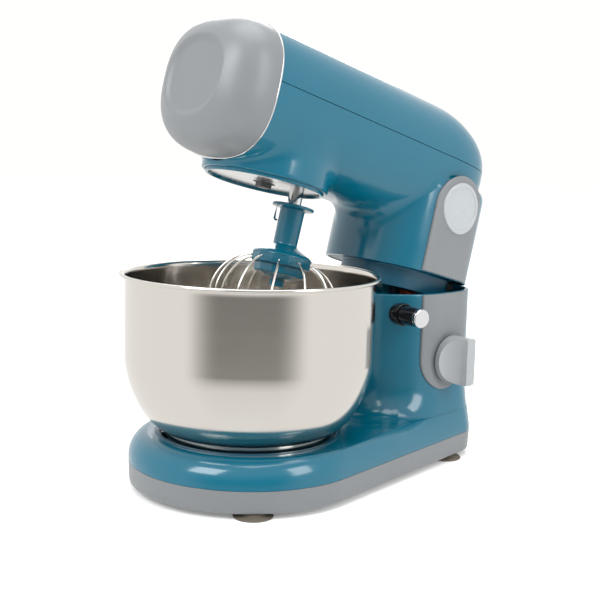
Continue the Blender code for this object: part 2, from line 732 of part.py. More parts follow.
def head_lower_housing(head):
    """Lower shell: barrel, arm and the round housing over the bowl, open underneath."""
    shell = place(
        loft_mesh("head_lower_housing", barrel_rings(0, BARREL_FRONT_Y)),
        "head_lower_housing", head, "blue_plastic")
    arm = place(arm_mesh("join_arm", 0, ARM_BOTTOM_Z), "join_arm", head, None)
    cut(shell, arm, "UNION", "MANIFOLD")
    drum = rod_cutter("join_drum", head, HOUSING_RADIUS, HOUSING_BOTTOM_Z, HOUSING_TOP_Z, sides=44)
    cut(shell, drum, "UNION", "MANIFOLD")
    hollow_head(head, shell, "MANIFOLD")
    arm_inside = place(arm_mesh("cut_arm", WALL, ARM_BOTTOM_Z - 10 * MM), "cut_arm", head, None)
    cut(shell, arm_inside, solver="MANIFOLD")
    drum_inside = rod_cutter(
        "cut_drum", head, HOUSING_RADIUS - WALL, HOUSING_BOTTOM_Z - 10 * MM, HOUSING_TOP_Z - WALL, sides=44)
    cut(shell, drum_inside, solver="MANIFOLD")
    above = box_cutter(
        "cut_above_seam", head, (-90 * MM, -80 * MM, SEAM_Z - GAP / 2), (90 * MM, 270 * MM, 340 * MM))
    cut(shell, above, solver="MANIFOLD")


def nose_cap(head):
    """Grey end cap: a pillow shape with a shallow round dish in its face."""
    back_y = BARREL_FRONT_Y - 2.6 * MM
    width = 61.5 * MM
    height = 58.5 * MM

    def pillow(turn, shrink, depth):
        scale = math.cos(turn) ** (2 / BARREL_POWER)
        section = superellipse(width - shrink, height - shrink, BARREL_POWER, BARREL_POINTS) * scale
        y = back_y - depth * math.sin(turn) ** (2 / BARREL_POWER)
        return [(x, y, BARREL_Z + z) for x, z in section]

    def disc(radius, y):
        turns = np.linspace(0, 2 * math.pi, BARREL_POINTS, endpoint=False)
        return [(radius * math.cos(t), y, BARREL_Z + radius * math.sin(t)) for t in turns]

    outer = [pillow(t, 0, CAP_DEPTH) for t in np.radians((0, 15, 30, 45, 58))]
    face_y = back_y - 0.945 * CAP_DEPTH
    dish = [disc(DISH_RADIUS, face_y), disc(DISH_RADIUS - 3 * MM, face_y + 1.6 * MM), disc(20 * MM, face_y + 2.2 * MM)]
    inner = [pillow(t, WALL, CAP_DEPTH - 7 * MM) for t in np.radians((0, 35, 66))]
    place(loft_mesh("nose_cap", inner[::-1] + outer + dish), "nose_cap", head, "grey_plastic")


def chrome_ring(head):
    """Thin bright ring between the cap and the head."""
    width = BARREL_WIDTH + 0.8 * MM
    height = BARREL_HEIGHT + 0.8 * MM
    rings = []
    for shrink, back in ((0, 0.4), (0, 2.2), (4, 2.2), (4, 0.4)):
        section = superellipse(width - shrink * MM, height - shrink * MM, BARREL_POWER, BARREL_POINTS)
        y = BARREL_FRONT_Y - back * MM
        rings.append([(x, y, BARREL_Z + z) for x, z in section])
    place(loft_mesh("chrome_ring", rings, closed=True), "chrome_ring", head, "chrome")


def arm_bottom_plate(head):
    """Plate that closes the arm underneath, with a skirt that drops into the column."""
    edge = WALL + 1 * MM
    skirt = SKIRT_INSET
    thin = 2.5 * MM
    low = ARM_BOTTOM_Z + 0.5 * MM
    high = low + WALL
    levels = (
        (edge, high), (edge, low), (skirt, low), (skirt, SKIRT_BOTTOM_Z),
        (skirt + thin, SKIRT_BOTTOM_Z), (skirt + thin, high))
    rings = [ring_at(column_outline(inset), z) for inset, z in levels]
    plate = place(
        loft_mesh("arm_bottom_plate", rings, closed=True), "arm_bottom_plate", head, "dark_blue_plastic")
    notch = box_cutter(
        "cut_plate_notch", head, (-47 * MM, 225 * MM, 140 * MM), (47 * MM, 250 * MM, 180 * MM))
    cut(plate, notch)


def hinge_knuckle(head):
    """Steel knuckle of the head that turns on the hinge pin."""
    half = 22 * MM
    low = (-half, HINGE_Y - 5 * MM, HINGE_Z)
    high = (half, 246 * MM, 212 * MM)
    knuckle = place(box_mesh("hinge_knuckle", low, high), "hinge_knuckle", head, "dark_steel")
    turn = (0, math.pi / 2, 0)
    eye = rod_cutter("join_knuckle_eye", head, EYE_RADIUS, -half, half)
    eye.location = (0, HINGE_Y, HINGE_Z)
    eye.rotation_euler = turn
    cut(knuckle, eye, "UNION")
    bore = rod_cutter("cut_knuckle_bore", head, PIN_RADIUS + GAP, -40 * MM, 40 * MM)
    bore.location = (0, HINGE_Y, HINGE_Z)
    bore.rotation_euler = turn
    cut(knuckle, bore)


def arm_trims(head):
    """Grey panels on both sides of the arm, each with a round raised badge."""
    rows = trim_rows(ARM_BOTTOM_Z + 0.5 * MM, BADGE_Z)
    badge = disc_rows(TRIM_Y, BADGE_Z, BADGE_RADIUS)
    above = TRIM_CLEARANCE + TRIM_THICKNESS + 2 * GAP
    for side, end in ((1, "right"), (-1, "left")):
        side_patch("arm_trim_" + end, head, "grey_plastic", rows, TRIM_CLEARANCE, TRIM_THICKNESS, side)
        side_patch("badge_" + end, head, "light_grey_plastic", badge, above, 1.2 * MM, side)


def motor(head):
    """Motor upright in the arm: a steel stator, and a rotor with the small pulley."""
    stator = ((42 * MM, 238 * MM), (42 * MM, 192 * MM), (26 * MM, 192 * MM), (26 * MM, 238 * MM))
    turned(
        "motor_stator", stator, head, "dark_steel", steps=20, ring=True, location=(0, COLUMN_Y, 0))
    axis = make_empty("motor_axis", head, (0, COLUMN_Y, 0))
    shaft = 4 * MM
    armature = (
        (0, 264 * MM), (shaft, 264 * MM), (shaft, 236 * MM), (25 * MM, 236 * MM), (25 * MM, 194 * MM),
        (shaft, 194 * MM), (shaft, 184 * MM), (0, 184 * MM))
    turned("motor_armature", armature, axis, "bronze", steps=16)
    pulley = (
        (MOTOR_PULLEY_RADIUS, PULLEY_HIGH_Z), (MOTOR_PULLEY_RADIUS, PULLEY_LOW_Z),
        (shaft + GAP, PULLEY_LOW_Z), (shaft + GAP, PULLEY_HIGH_Z))
    turned("motor_pulley", pulley, axis, "cast_aluminium", steps=20, ring=True)


def gearbox_plate(head):
    """Cast plate from the motor to the drum; it carries the spindle and the belt."""
    circles = ((0, 0, 50 * MM), (0, COLUMN_Y, 50 * MM))
    outline = resample(hull_outline(circles, 0), 48)
    rings = [ring_at(outline, GEARBOX_PLATE_LOW_Z), ring_at(outline, GEARBOX_PLATE_HIGH_Z)]
    plate = place(loft_mesh("gearbox_plate", rings), "gearbox_plate", head, "cast_aluminium")
    cut(plate, rod_cutter("cut_plate_spindle", head, 5.4 * MM, 240 * MM, 255 * MM))
    motor_hole = rod_cutter("cut_plate_motor", head, 10 * MM, 240 * MM, 255 * MM)
    motor_hole.location = (0, COLUMN_Y, 0)
    cut(plate, motor_hole)


def drive_belt(head):
    """Flat belt round the two pulleys."""
    circles = (
        (0, 0, PULLEY_RADIUS + BELT_CLEARANCE), (0, COLUMN_Y, MOTOR_PULLEY_RADIUS + BELT_CLEARANCE))
    inner = hull_outline(circles, 0, samples=40)
    outer = hull_outline(circles, -BELT_THICKNESS, samples=40)
    rings = [ring_at(outer, 260 * MM), ring_at(outer, 255 * MM), ring_at(inner, 255 * MM), ring_at(inner, 260 * MM)]
    place(loft_mesh("drive_belt", rings, closed=True), "drive_belt", head, "belt_rubber")


def gear_outline(teeth, tip, root_radius, half_angle, phase=0.0):
    """Trapezoid teeth between a root radius and a tip radius, half_angle wide at half height."""
    points = []
    for i in range(teeth):
        centre = 2 * math.pi * i / teeth + phase
        for radius, share in (
                (root_radius, -FOOT_SHARE), (tip, -TIP_SHARE), (tip, TIP_SHARE), (root_radius, FOOT_SHARE)):
            angle = centre + share * half_angle
            points.append((radius * math.cos(angle), radius * math.sin(angle)))
    return np.array(points)


def ring_gear(head):
    """Fixed internal gear round the inside of the drum."""
    pitch = GEAR_MODULE * RING_TEETH / 2
    inner = gear_outline(
        RING_TEETH, pitch - ADDENDUM, pitch + DEDENDUM, TOOTH_HALF / pitch, RING_PHASE)
    turns = np.arctan2(inner[:, 1], inner[:, 0])
    rim = pitch + 3.9 * MM
    outer = np.stack([rim * np.cos(turns), rim * np.sin(turns)], axis=1)
    low = 224 * MM
    high = 233 * MM
    rings = [ring_at(outer, high), ring_at(outer, low), ring_at(inner, low), ring_at(inner, high)]
    place(loft_mesh("ring_gear", rings, closed=True), "ring_gear", head, "gear_plastic")


def spindle_bearing(head):
    """Bronze bush that holds the main spindle under the gearbox plate."""
    high = GEARBOX_PLATE_LOW_Z - GAP
    profile = ((14 * MM, high), (14 * MM, 236 * MM), (5.35 * MM, 236 * MM), (5.35 * MM, high))
    turned("spindle_bearing", profile, head, "bronze", steps=16, ring=True)


# ---------------------------------------------------------------- planetary and whisk

def shaft_bore(axis, name):
    """Hole off centre for the drive shaft."""
    bore = rod_cutter(name, axis, SHAFT_RADIUS + GAP, 200 * MM, 230 * MM)
    bore.location = (0, SHAFT_OFFSET, 0)
    return bore


def planetary(head):
    """Turning carrier under the drum with its spindle, pulley, cover plate and bolt."""
    axis = make_empty("planetary_axis", head, (0, 0, 0))
    spindle = (
        (0, SPINDLE_TOP_Z), (SPINDLE_RADIUS, SPINDLE_TOP_Z), (SPINDLE_RADIUS, 212.5 * MM), (0, 212.5 * MM))
    turned("main_spindle", spindle, axis, "dark_steel", steps=16)
    pulley = (
        (PULLEY_RADIUS, PULLEY_HIGH_Z), (PULLEY_RADIUS, PULLEY_LOW_Z),
        (SPINDLE_RADIUS + GAP, PULLEY_LOW_Z), (SPINDLE_RADIUS + GAP, PULLEY_HIGH_Z))
    turned("large_pulley", pulley, axis, "cast_aluminium", steps=28, ring=True)
    bore = SPINDLE_RADIUS + GAP
    edge = HOUSING_RADIUS - WALL - 0.7 * MM
    lip = edge - 3 * MM
    face = CARRIER_LOW_Z + 4.6 * MM
    carrier_profile = (
        (12 * MM, 222 * MM), (12 * MM, 215 * MM), (edge, 215 * MM), (edge, CARRIER_LOW_Z),
        (lip, CARRIER_LOW_Z), (lip, face), (bore, face), (bore, 222 * MM))
    carrier = turned(
        "planet_carrier", carrier_profile, axis, "blue_plastic", steps=36, ring=True)
    cut(carrier, shaft_bore(axis, "cut_carrier_bore"))
    plate_low = face - 2.3 * MM
    plate_edge = lip - 2 * GAP
    plate_profile = (
        (plate_edge, face - GAP), (plate_edge, plate_low), (bore, plate_low), (bore, face - GAP))
    plate = turned(
        "planetary_plate", plate_profile, axis, "polished_steel", steps=36, ring=True)
    cut(plate, shaft_bore(axis, "cut_plate_bore"))
    bolt_top = plate_low - GAP
    head_mesh = rod_mesh("carrier_bolt", 7 * MM, bolt_top - 5 * MM, bolt_top, sides=6)
    place(head_mesh, "carrier_bolt", axis, "dark_steel")
    return axis


def beater(planet_axis):
    """Drive shaft, its planet gear and the cross pin that locks an attachment."""
    axis = make_empty("beater_axis", planet_axis, (0, SHAFT_OFFSET, 0))
    top = 234 * MM
    low = FLANGE_Z - SHAFT_DEPTH
    shaft = (
        (0, top), (SHAFT_RADIUS, top), (SHAFT_RADIUS, low + MM), (SHAFT_RADIUS - MM, low), (0, low))
    turned("drive_shaft", shaft, axis, "chrome", steps=24)
    pitch = GEAR_MODULE * PLANET_TEETH / 2
    outline = gear_outline(
        PLANET_TEETH, pitch + ADDENDUM, pitch - DEDENDUM, TOOTH_HALF / pitch, PLANET_PHASE)
    rings = [ring_at(outline, 224.5 * MM), ring_at(outline, 232.5 * MM)]
    gear = place(loft_mesh("planet_gear", rings), "planet_gear", axis, "gear_plastic")
    cut(gear, rod_cutter("cut_planet_bore", axis, SHAFT_RADIUS + GAP, 220 * MM, 240 * MM))
    return axis


def whisk_hub(axis):
    """Plastic hub: flange, tube, a cone down to a twelve-sided rim and a nub."""
    bore = SHAFT_RADIUS + GAP
    tube = 11.3 * MM
    upper = (
        (19 * MM, 0), (19 * MM, -2.6 * MM), (tube, -3.2 * MM), (tube - 0.4 * MM, -36 * MM),
        (15 * MM, -38.5 * MM), (26.8 * MM, -45.8 * MM), (HUB_RADIUS, -46.5 * MM),
        (HUB_RADIUS, -55 * MM))
    lower = (
        (23.3 * MM, -55.5 * MM), (23.3 * MM, -63 * MM), (13 * MM, -67 * MM), (6.9 * MM, -68 * MM),
        (6.9 * MM, -74 * MM), (0, -74 * MM))
    socket = ((0, -SOCKET_DEPTH), (bore, -SOCKET_DEPTH), (bore, 0))
    profile = [(radius, FLANGE_Z + drop) for radius, drop in socket + upper + lower]
    turned("whisk_hub", profile, axis, "blue_plastic", steps=12)


def wire_point(share, depth):
    """Point (radius, drop) along a loop, from its socket at share 0 to its foot at share 1."""
    start_radius = HUB_RADIUS + WIRE_RADIUS + GAP
    shoulder = 86 * MM
    socket = 51 * MM
    if share < 0.5:
        rise = share / 0.5
        radius = start_radius + (WIRE_SWELL - start_radius) * math.sin(rise * math.pi / 2) ** 0.9
        drop = socket + (shoulder - socket) * (1 - math.cos(rise * math.pi / 2)) ** 0.8
        return radius, drop
    turn = (share - 0.5) * math.pi
    return WIRE_SWELL * math.cos(turn), shoulder + (depth - shoulder) * math.sin(turn)


def whisk_wires(axis):
    """Six loops across the hub, each lower than the last where they cross."""
    for i in range(LOOP_COUNT):
        name = "whisk_wire_%d" % (i + 1)
        depth = WHISK_DEPTH - LOOP_STEP * i
        half = [wire_point(share, depth) for share in np.linspace(0, 1, WIRE_STEPS)]
        route = half + [(-radius, drop) for radius, drop in half[-2::-1]]
        azimuth = math.pi * (i + 0.5) / LOOP_COUNT
        curve = bpy.data.curves.new(name, "CURVE")
        curve.dimensions = "3D"
        spline = curve.splines.new("POLY")
        spline.points.add(len(route) - 1)
        for point, (radius, drop) in zip(spline.points, route):
            x = radius * math.cos(azimuth)
            y = radius * math.sin(azimuth)
            point.co = (x, y, FLANGE_Z - drop, 1)
        curve.bevel_depth = WIRE_RADIUS
        curve.bevel_resolution = 1
        curve.use_fill_caps = True
        curve.materials.append(make_material("polished_steel"))
        wire = bpy.data.objects.new(name, curve)
        wire.parent = axis
        PARTS.objects.link(wire)


# ---------------------------------------------------------------- assembly

def build():
    root = make_empty("bowl_axis", None, (0, BOWL_AXIS_Y, 0))
    base_tray(root)
    for name, x, y in FEET:
        foot(root, name, x, y)
    base_housing(root)
    bowl_seat(root)
    bowl_lock_ring(root)
    column_deck(root)
    column_trims(root)
    speed_switch(root)
    control_board(root)
    latch_block(root)
    safety_switch(root)
    hinge_brackets(root)
    release_collar(root)
    cable_gland(root)
    knob(root)
    release_button(root)
    bowl(root)
    bowl_foot(root)
    hinge = make_empty("head_hinge", root, (0, HINGE_Y, HINGE_Z), (-OPEN_TILT, 0, 0))
    head = make_empty("head_level", hinge, (0, -HINGE_Y, -HINGE_Z))
    head_top_cover(head)
    head_lower_housing(head)
    nose_cap(head)
    chrome_ring(head)
    arm_bottom_plate(head)
    hinge_knuckle(head)
    arm_trims(head)
    motor(head)
    gearbox_plate(head)
    drive_belt(head)
    ring_gear(head)
    spindle_bearing(head)
    planet_axis = planetary(head)
    beater_axis = beater(planet_axis)
    whisk_hub(beater_axis)
    whisk_wires(beater_axis)


build()
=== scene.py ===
"""Tilt-head stand mixer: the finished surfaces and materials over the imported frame.

Lengths are metres. Shapes of the base are worked out in the bowl's plan, whose origin is the
bowl's axis on the worktop. Shapes of the head are worked out with the head level, and then
tilted back about the hinge as the frame stands at rest.
"""
import json
import math

import bmesh
import bpy
import numpy as np
from bpy.props import FloatProperty, FloatVectorProperty, PointerProperty
from mathutils import Matrix, Vector


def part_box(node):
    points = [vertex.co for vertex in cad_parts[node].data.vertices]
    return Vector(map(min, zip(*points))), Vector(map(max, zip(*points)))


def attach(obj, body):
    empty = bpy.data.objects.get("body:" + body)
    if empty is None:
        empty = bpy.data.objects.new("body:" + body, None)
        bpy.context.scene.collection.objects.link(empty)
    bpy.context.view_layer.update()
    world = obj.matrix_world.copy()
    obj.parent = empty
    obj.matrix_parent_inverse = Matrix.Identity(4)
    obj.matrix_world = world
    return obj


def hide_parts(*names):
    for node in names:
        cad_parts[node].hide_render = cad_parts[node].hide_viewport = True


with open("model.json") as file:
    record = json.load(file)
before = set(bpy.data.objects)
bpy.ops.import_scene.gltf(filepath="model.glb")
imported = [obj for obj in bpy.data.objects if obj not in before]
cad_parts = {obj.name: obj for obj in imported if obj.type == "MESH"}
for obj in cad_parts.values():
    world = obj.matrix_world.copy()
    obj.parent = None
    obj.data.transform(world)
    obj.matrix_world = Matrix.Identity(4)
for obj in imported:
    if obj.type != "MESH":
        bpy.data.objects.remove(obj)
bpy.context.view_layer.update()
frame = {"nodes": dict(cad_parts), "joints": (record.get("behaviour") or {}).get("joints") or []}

bl_info = {
    "name": "Stand Mixer",
    "version": (1, 0, 0),
    "blender": (4, 5, 0),
    "location": "View3D > Sidebar > Mixer",
    "description": "Builds a tilt-head stand mixer with a whisk and a steel bowl",
    "category": "Add Mesh",
}

MM = 0.001
BOWL_LOW, BOWL_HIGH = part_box("bowl")
BOWL_Y = (BOWL_LOW.y + BOWL_HIGH.y) / 2
HINGE = next(joint["pos_m"] for joint in frame["joints"] if joint["name"] == "head_tilt")
HINGE_Y = HINGE[1] - BOWL_Y
HINGE_Z = HINGE[2]
TILT = math.radians(15)

# The camera: heading, pitch and roll in degrees, and its place from the bowl's axis.
CAMERA_TURN = (46.907, 8.212, 1.5265)
CAMERA_PLACE = (0.74151, -0.63429, 0.30726)

# Plan of the base and of the column: each is the hull of circles (x, y, radius).
BASE_CIRCLES = ((0, 0, 106 * MM), (33 * MM, 215 * MM, 37 * MM), (-33 * MM, 215 * MM, 37 * MM))
COLUMN_Y = 182 * MM
COLUMN_CIRCLES = (
    (0, COLUMN_Y, 64 * MM), (25 * MM, 211 * MM, 38.5 * MM), (-25 * MM, 211 * MM, 38.5 * MM))
TRAY_LOW, TRAY_TOP = 5 * MM, 24.5 * MM
PLATFORM_Z = 48 * MM
FILLET_TOP = 76 * MM
COLUMN_TOP = 165.5 * MM
SEAT_RADIUS = 83 * MM
ARM_LOW = 168 * MM
SEAM_Z = 280 * MM
BARREL_Z = 273 * MM
BARREL_FRONT = -56.5 * MM
BARREL_POWER = 2.6
DRUM_RADIUS = 56.5 * MM
DRUM_LOW = 208.5 * MM
SHAFT_OFFSET = 40.005 * MM
FLANGE_Z = 196.4 * MM
TRIM_Y = 191 * MM
TRIM_HALF_WIDTH = 31 * MM
BADGE_Z = 235 * MM

# Points round the base, and the share to which an outline shrinks to close a hidden end.
BASE_POINTS = 720
CLOSED_SHARE = 0.02
KNOB_Y, KNOB_Z = 197 * MM, 101 * MM
BUTTON = (48 * MM, 143 * MM, 147 * MM)
BUTTON_YAW = math.radians(-10)


# ------------------------------------------------------------------ places

def level(points):
    """Tilt points of the level head back about the hinge, and move them to the frame's place."""
    x, y, z = np.asarray(points, float).reshape(-1, 3).T
    c, s = math.cos(TILT), math.sin(TILT)
    back = HINGE_Y + (y - HINGE_Y) * c + (z - HINGE_Z) * s
    up = HINGE_Z - (y - HINGE_Y) * s + (z - HINGE_Z) * c
    return np.stack([x, back + BOWL_Y, up], axis=1)


def fixed(points):
    """Move points of the bowl's plan to the frame's place."""
    return np.asarray(points, float).reshape(-1, 3) + (0, BOWL_Y, 0)


def beside(points):
    """Points about the drive shaft, in its own plan, to the tilted head."""
    return level(np.asarray(points, float).reshape(-1, 3) + (0, SHAFT_OFFSET, 0))


def sideways(centre, yaw=0.0):
    """A placing that lays an upright turned shape along +X, swung by yaw, at a centre."""
    def put(points):
        x, y, z = np.asarray(points, float).reshape(-1, 3).T
        ahead, across = z, y
        c, s = math.cos(yaw), math.sin(yaw)
        moved = np.stack([ahead * c - across * s, ahead * s + across * c, -x], axis=1)
        return fixed(moved + centre)
    return put


# ------------------------------------------------------------------ meshes

def grid_faces(rows, columns, round_columns=True, round_rows=False, flip=False):
    """Quads of a grid stored row by row; a round direction joins its last line to its first."""
    last_row = rows if round_rows else rows - 1
    last_column = columns if round_columns else columns - 1
    i, j = np.meshgrid(np.arange(last_row), np.arange(last_column), indexing="ij")
    a = i * columns + j
    b = i * columns + (j + 1) % columns
    c = ((i + 1) % rows) * columns + (j + 1) % columns
    d = ((i + 1) % rows) * columns + j
    quads = np.stack([a, b, c, d], axis=-1).reshape(-1, 4)
    return quads[:, ::-1] if flip else quads


def solid_mesh(name, points, quads, material, smooth=40):
    """A mesh object from arrays: loose points go, faces turn outwards, sharp edges stay sharp."""
    points = np.asarray(points, np.float32).reshape(-1, 3)
    mesh = bpy.data.meshes.new(name)
    mesh.vertices.add(len(points))
    mesh.vertices.foreach_set("co", points.ravel())
    mesh.loops.add(quads.size)
    mesh.loops.foreach_set("vertex_index", quads.astype(np.int32).ravel())
    mesh.polygons.add(len(quads))
    mesh.polygons.foreach_set("loop_start", np.arange(0, quads.size, 4, dtype=np.int32))
    mesh.update(calc_edges=True)
    bm = bmesh.new()
    bm.from_mesh(mesh)
    bmesh.ops.remove_doubles(bm, verts=bm.verts, dist=0.002 * MM)
    bmesh.ops.dissolve_degenerate(bm, edges=bm.edges, dist=0.001 * MM)
    bmesh.ops.delete(bm, geom=[v for v in bm.verts if not v.link_faces], context="VERTS")
    bmesh.ops.recalc_face_normals(bm, faces=bm.faces)
    bm.to_mesh(mesh)
    bm.free()
    mesh.shade_smooth()
    mesh.set_sharp_from_angle(angle=math.radians(smooth))
    mesh.materials.append(material)
    obj = bpy.data.objects.new(name, mesh)
    bpy.context.scene.collection.objects.link(obj)
    return obj


def settle(obj, body, slot, *nodes):
    """Fasten a finished piece to its body and hide the nodes it stands for; slot is not used."""
    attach(obj, body)
    if nodes:
        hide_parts(*nodes)
    return obj


def turned(name, profile, steps, put, material, closed=False, smooth=40, sides=None):
    """A profile of (radius, z) turned about Z; sides, if given, flattens it to a polygon.

    The point at turn t is (r cos t, r sin t, z); on a polygon r is divided by the cosine of
    the angle from the middle of the nearest side, and multiplied by that of half a side.
    """
    profile = np.asarray(profile, float)
    turn = np.linspace(0, 2 * math.pi, steps, endpoint=False)
    scale = np.ones(steps)
    if sides:
        half = math.pi / sides
        scale = math.cos(half) / np.cos((turn % (2 * half)) - half)
    r = profile[:, 0][:, None] * scale
    points = np.stack([r * np.cos(turn), r * np.sin(turn), np.repeat(profile[:, 1][:, None], steps, 1)], -1)
    quads = grid_faces(len(profile), steps, True, closed)
    return solid_mesh(name, put(points), quads, material, smooth)


def rounded(corners, radius, steps=6, closed=False):
    """A profile with each corner turned into a quadratic curve that starts radius before it.

    A point of the curve is the corner's two neighbours on its sides, weighted (1-t)^2 and t^2,
    with the corner itself weighted 2t(1-t). The radius is cut to half of the shorter side.
    """
    p = np.asarray(corners, float)
    reach = np.broadcast_to(np.asarray(radius, float), len(p))
    out = []
    t = np.linspace(0, 1, steps)[:, None]
    for i, corner in enumerate(p):
        if not closed and i in (0, len(p) - 1):
            out.append(corner[None])
            continue
        before, after = p[i - 1] - corner, p[(i + 1) % len(p)] - corner
        la, lb = np.hypot(*before), np.hypot(*after)
        cut = min(reach[i], 0.49 * la, 0.49 * lb)
        a, b = corner + before / la * cut, corner + after / lb * cut
        out.append(a * (1 - t) ** 2 + 2 * t * (1 - t) * corner + b * t ** 2)
    return np.vstack(out)


def tube(name, path, radius, put, material, around=14):
    """A round wire along a path: at each point a circle in the plane across the path.

    The path lies in one plane, so the circle's first axis is that plane's normal and
    its second is the tangent crossed with it. The two ends close to a point.
    """
    path = np.asarray(path, float)
    tangent = np.gradient(path, axis=0)
    tangent /= np.linalg.norm(tangent, axis=1)[:, None]
    normal = np.cross(path[0] - path[len(path) // 2], path[-1] - path[0])
    normal /= np.linalg.norm(normal)
    second = np.cross(tangent, normal)
    turn = np.linspace(0, 2 * math.pi, around, endpoint=False)
    ring = normal[None, None] * np.cos(turn)[None, :, None] + second[:, None] * np.sin(turn)[None, :, None]
    points = path[:, None] + radius * ring
    points[0], points[-1] = path[0], path[-1]
    return solid_mesh(name, put(points), grid_faces(len(path), around), material, 60)


# ------------------------------------------------------------------ outlines

def hull_outline(circles, inset, samples=2880):
    """Points round the hull of circles: in each direction, the furthest circle's edge."""
    turn = np.linspace(0, 2 * math.pi, samples, endpoint=False) + math.pi / 2
    normals = np.stack([np.cos(turn), np.sin(turn)], axis=1)
    centres = np.array([circle[:2] for circle in circles])
    radii = np.array([circle[2] for circle in circles])
    furthest = np.argmax(normals @ centres.T + radii, axis=1)
    return centres[furthest] + (radii[furthest] - inset)[:, None] * normals


def resample(outline, count):
    """Evenly spaced points along a closed outline."""
    closed = np.vstack([outline, outline[:1]])
    travelled = np.concatenate([[0], np.cumsum(np.hypot(*np.diff(closed, axis=0).T))])
    wanted = np.linspace(0, travelled[-1], count, endpoint=False)
    return np.stack([np.interp(wanted, travelled, closed[:, k]) for k in (0, 1)], axis=1)


def column_outline(inset, count=720):
    return resample(hull_outline(COLUMN_CIRCLES, inset), count)


def polar_reach(outline, directions):
    """Distance from the column's centre to an outline along each unit direction."""
    offsets = outline - (0, COLUMN_Y)
    angles = np.arctan2(offsets[:, 1], offsets[:, 0])
    order = np.argsort(angles)
    wanted = np.arctan2(directions[:, 1], directions[:, 0])
    return np.interp(wanted, angles[order], np.hypot(*offsets.T)[order], period=2 * math.pi)


def column_side(y):
    """Half-width of the column's plan at a place along Y."""
    outline = hull_outline(COLUMN_CIRCLES, 0)
    side = outline[outline[:, 0] > 0]
    order = np.argsort(side[:, 1])
    return np.interp(y, side[order, 1], side[order, 0])


def smoothstep(low, high, value):
    t = np.clip((value - low) / (high - low), 0, 1)
    return t * t * (3 - 2 * t)


def superellipse(half_width, half_height, power, count):
    """Points (x, z): cosine and sine of the turn, each raised to 2 / power with its sign kept."""
    turn = np.linspace(0, 2 * math.pi, count, endpoint=False)
    c, s = np.cos(turn), np.sin(turn)
    return np.stack([
        half_width * np.sign(c) * np.abs(c) ** (2 / power),
        half_height * np.sign(s) * np.abs(s) ** (2 / power)], axis=1)


# ------------------------------------------------------------------ materials

def linear(code):
    """Linear RGBA of an sRGB hex value."""
    out = []
    for k in (0, 2, 4):
        v = int(code[k:k + 2], 16) / 255
        out.append(v / 12.92 if v <= 0.04045 else ((v + 0.055) / 1.055) ** 2.4)
    return (*out, 1.0)


def add(tree, kind, inputs=(), **settings):
    """Add a node; inputs are (socket, value or output) pairs, settings are its properties."""
    node = tree.nodes.new(kind)
    for key, value in settings.items():
        setattr(node, key, value)
    for socket, value in dict(inputs).items():
        if isinstance(value, bpy.types.NodeSocket):
            tree.links.new(value, node.inputs[socket])
        else:
            node.inputs[socket].default_value = value
    return node


def base_material(name, color, roughness, metallic=0.0, ior=None, coat=0.0):
    """A Principled material whose constant values sit on the shader's own sockets."""
    material = bpy.data.materials.new(name)
    material.use_nodes = True
    shader = material.node_tree.nodes["Principled BSDF"]
    shader.inputs["Base Color"].default_value = color
    shader.inputs["Roughness"].default_value = roughness
    shader.inputs["Metallic"].default_value = metallic
    if ior:
        shader.inputs["IOR"].default_value = ior
    shader.inputs["Coat Weight"].default_value = coat
    shader.inputs["Coat Roughness"].default_value = 0.04
    return material, material.node_tree, shader


def moulded(name, color, roughness, grain_mm, depth_mm, coat=0.0, spread=0.05, ior=1.53):
    """Moulded ABS: even colour with a slow drift, a grain from the tool, and hand-worn gloss.

    The drift is noise some 60 mm across, the grain noise of the given size as bump, and the
    roughness wanders by its spread over some 25 mm.
    """
    material, tree, shader = base_material(name, color, roughness, ior=ior, coat=coat)
    place = add(tree, "ShaderNodeTexCoord").outputs["Object"]
    drift = add(tree, "ShaderNodeTexNoise", {"Vector": place, "Scale": 1 / 0.06, "Detail": 2.0})
    darker = tuple(0.93 * c for c in color[:3]) + (1.0,)
    mix = add(tree, "ShaderNodeMix", {
        "Factor": drift.outputs["Fac"], 6: color, 7: darker}, data_type="RGBA")
    tree.links.new(mix.outputs[2], shader.inputs["Base Color"])
    wear = add(tree, "ShaderNodeTexNoise", {"Vector": place, "Scale": 1 / 0.025, "Detail": 4.0})
    span = add(tree, "ShaderNodeMapRange", {
        "Value": wear.outputs["Fac"], "From Min": 0.3, "From Max": 0.7,
        "To Min": roughness - spread / 2, "To Max": roughness + spread})
    tree.links.new(span.outputs["Result"], shader.inputs["Roughness"])
    grain = add(tree, "ShaderNodeTexNoise", {
        "Vector": place, "Scale": 1 / (grain_mm * MM), "Detail": 3.0, "Roughness": 0.6})
    bump = add(tree, "ShaderNodeBump", {
        "Height": grain.outputs["Fac"], "Distance": depth_mm * MM, "Strength": 0.5})
    tree.links.new(bump.outputs["Normal"], shader.inputs["Normal"])
    return material


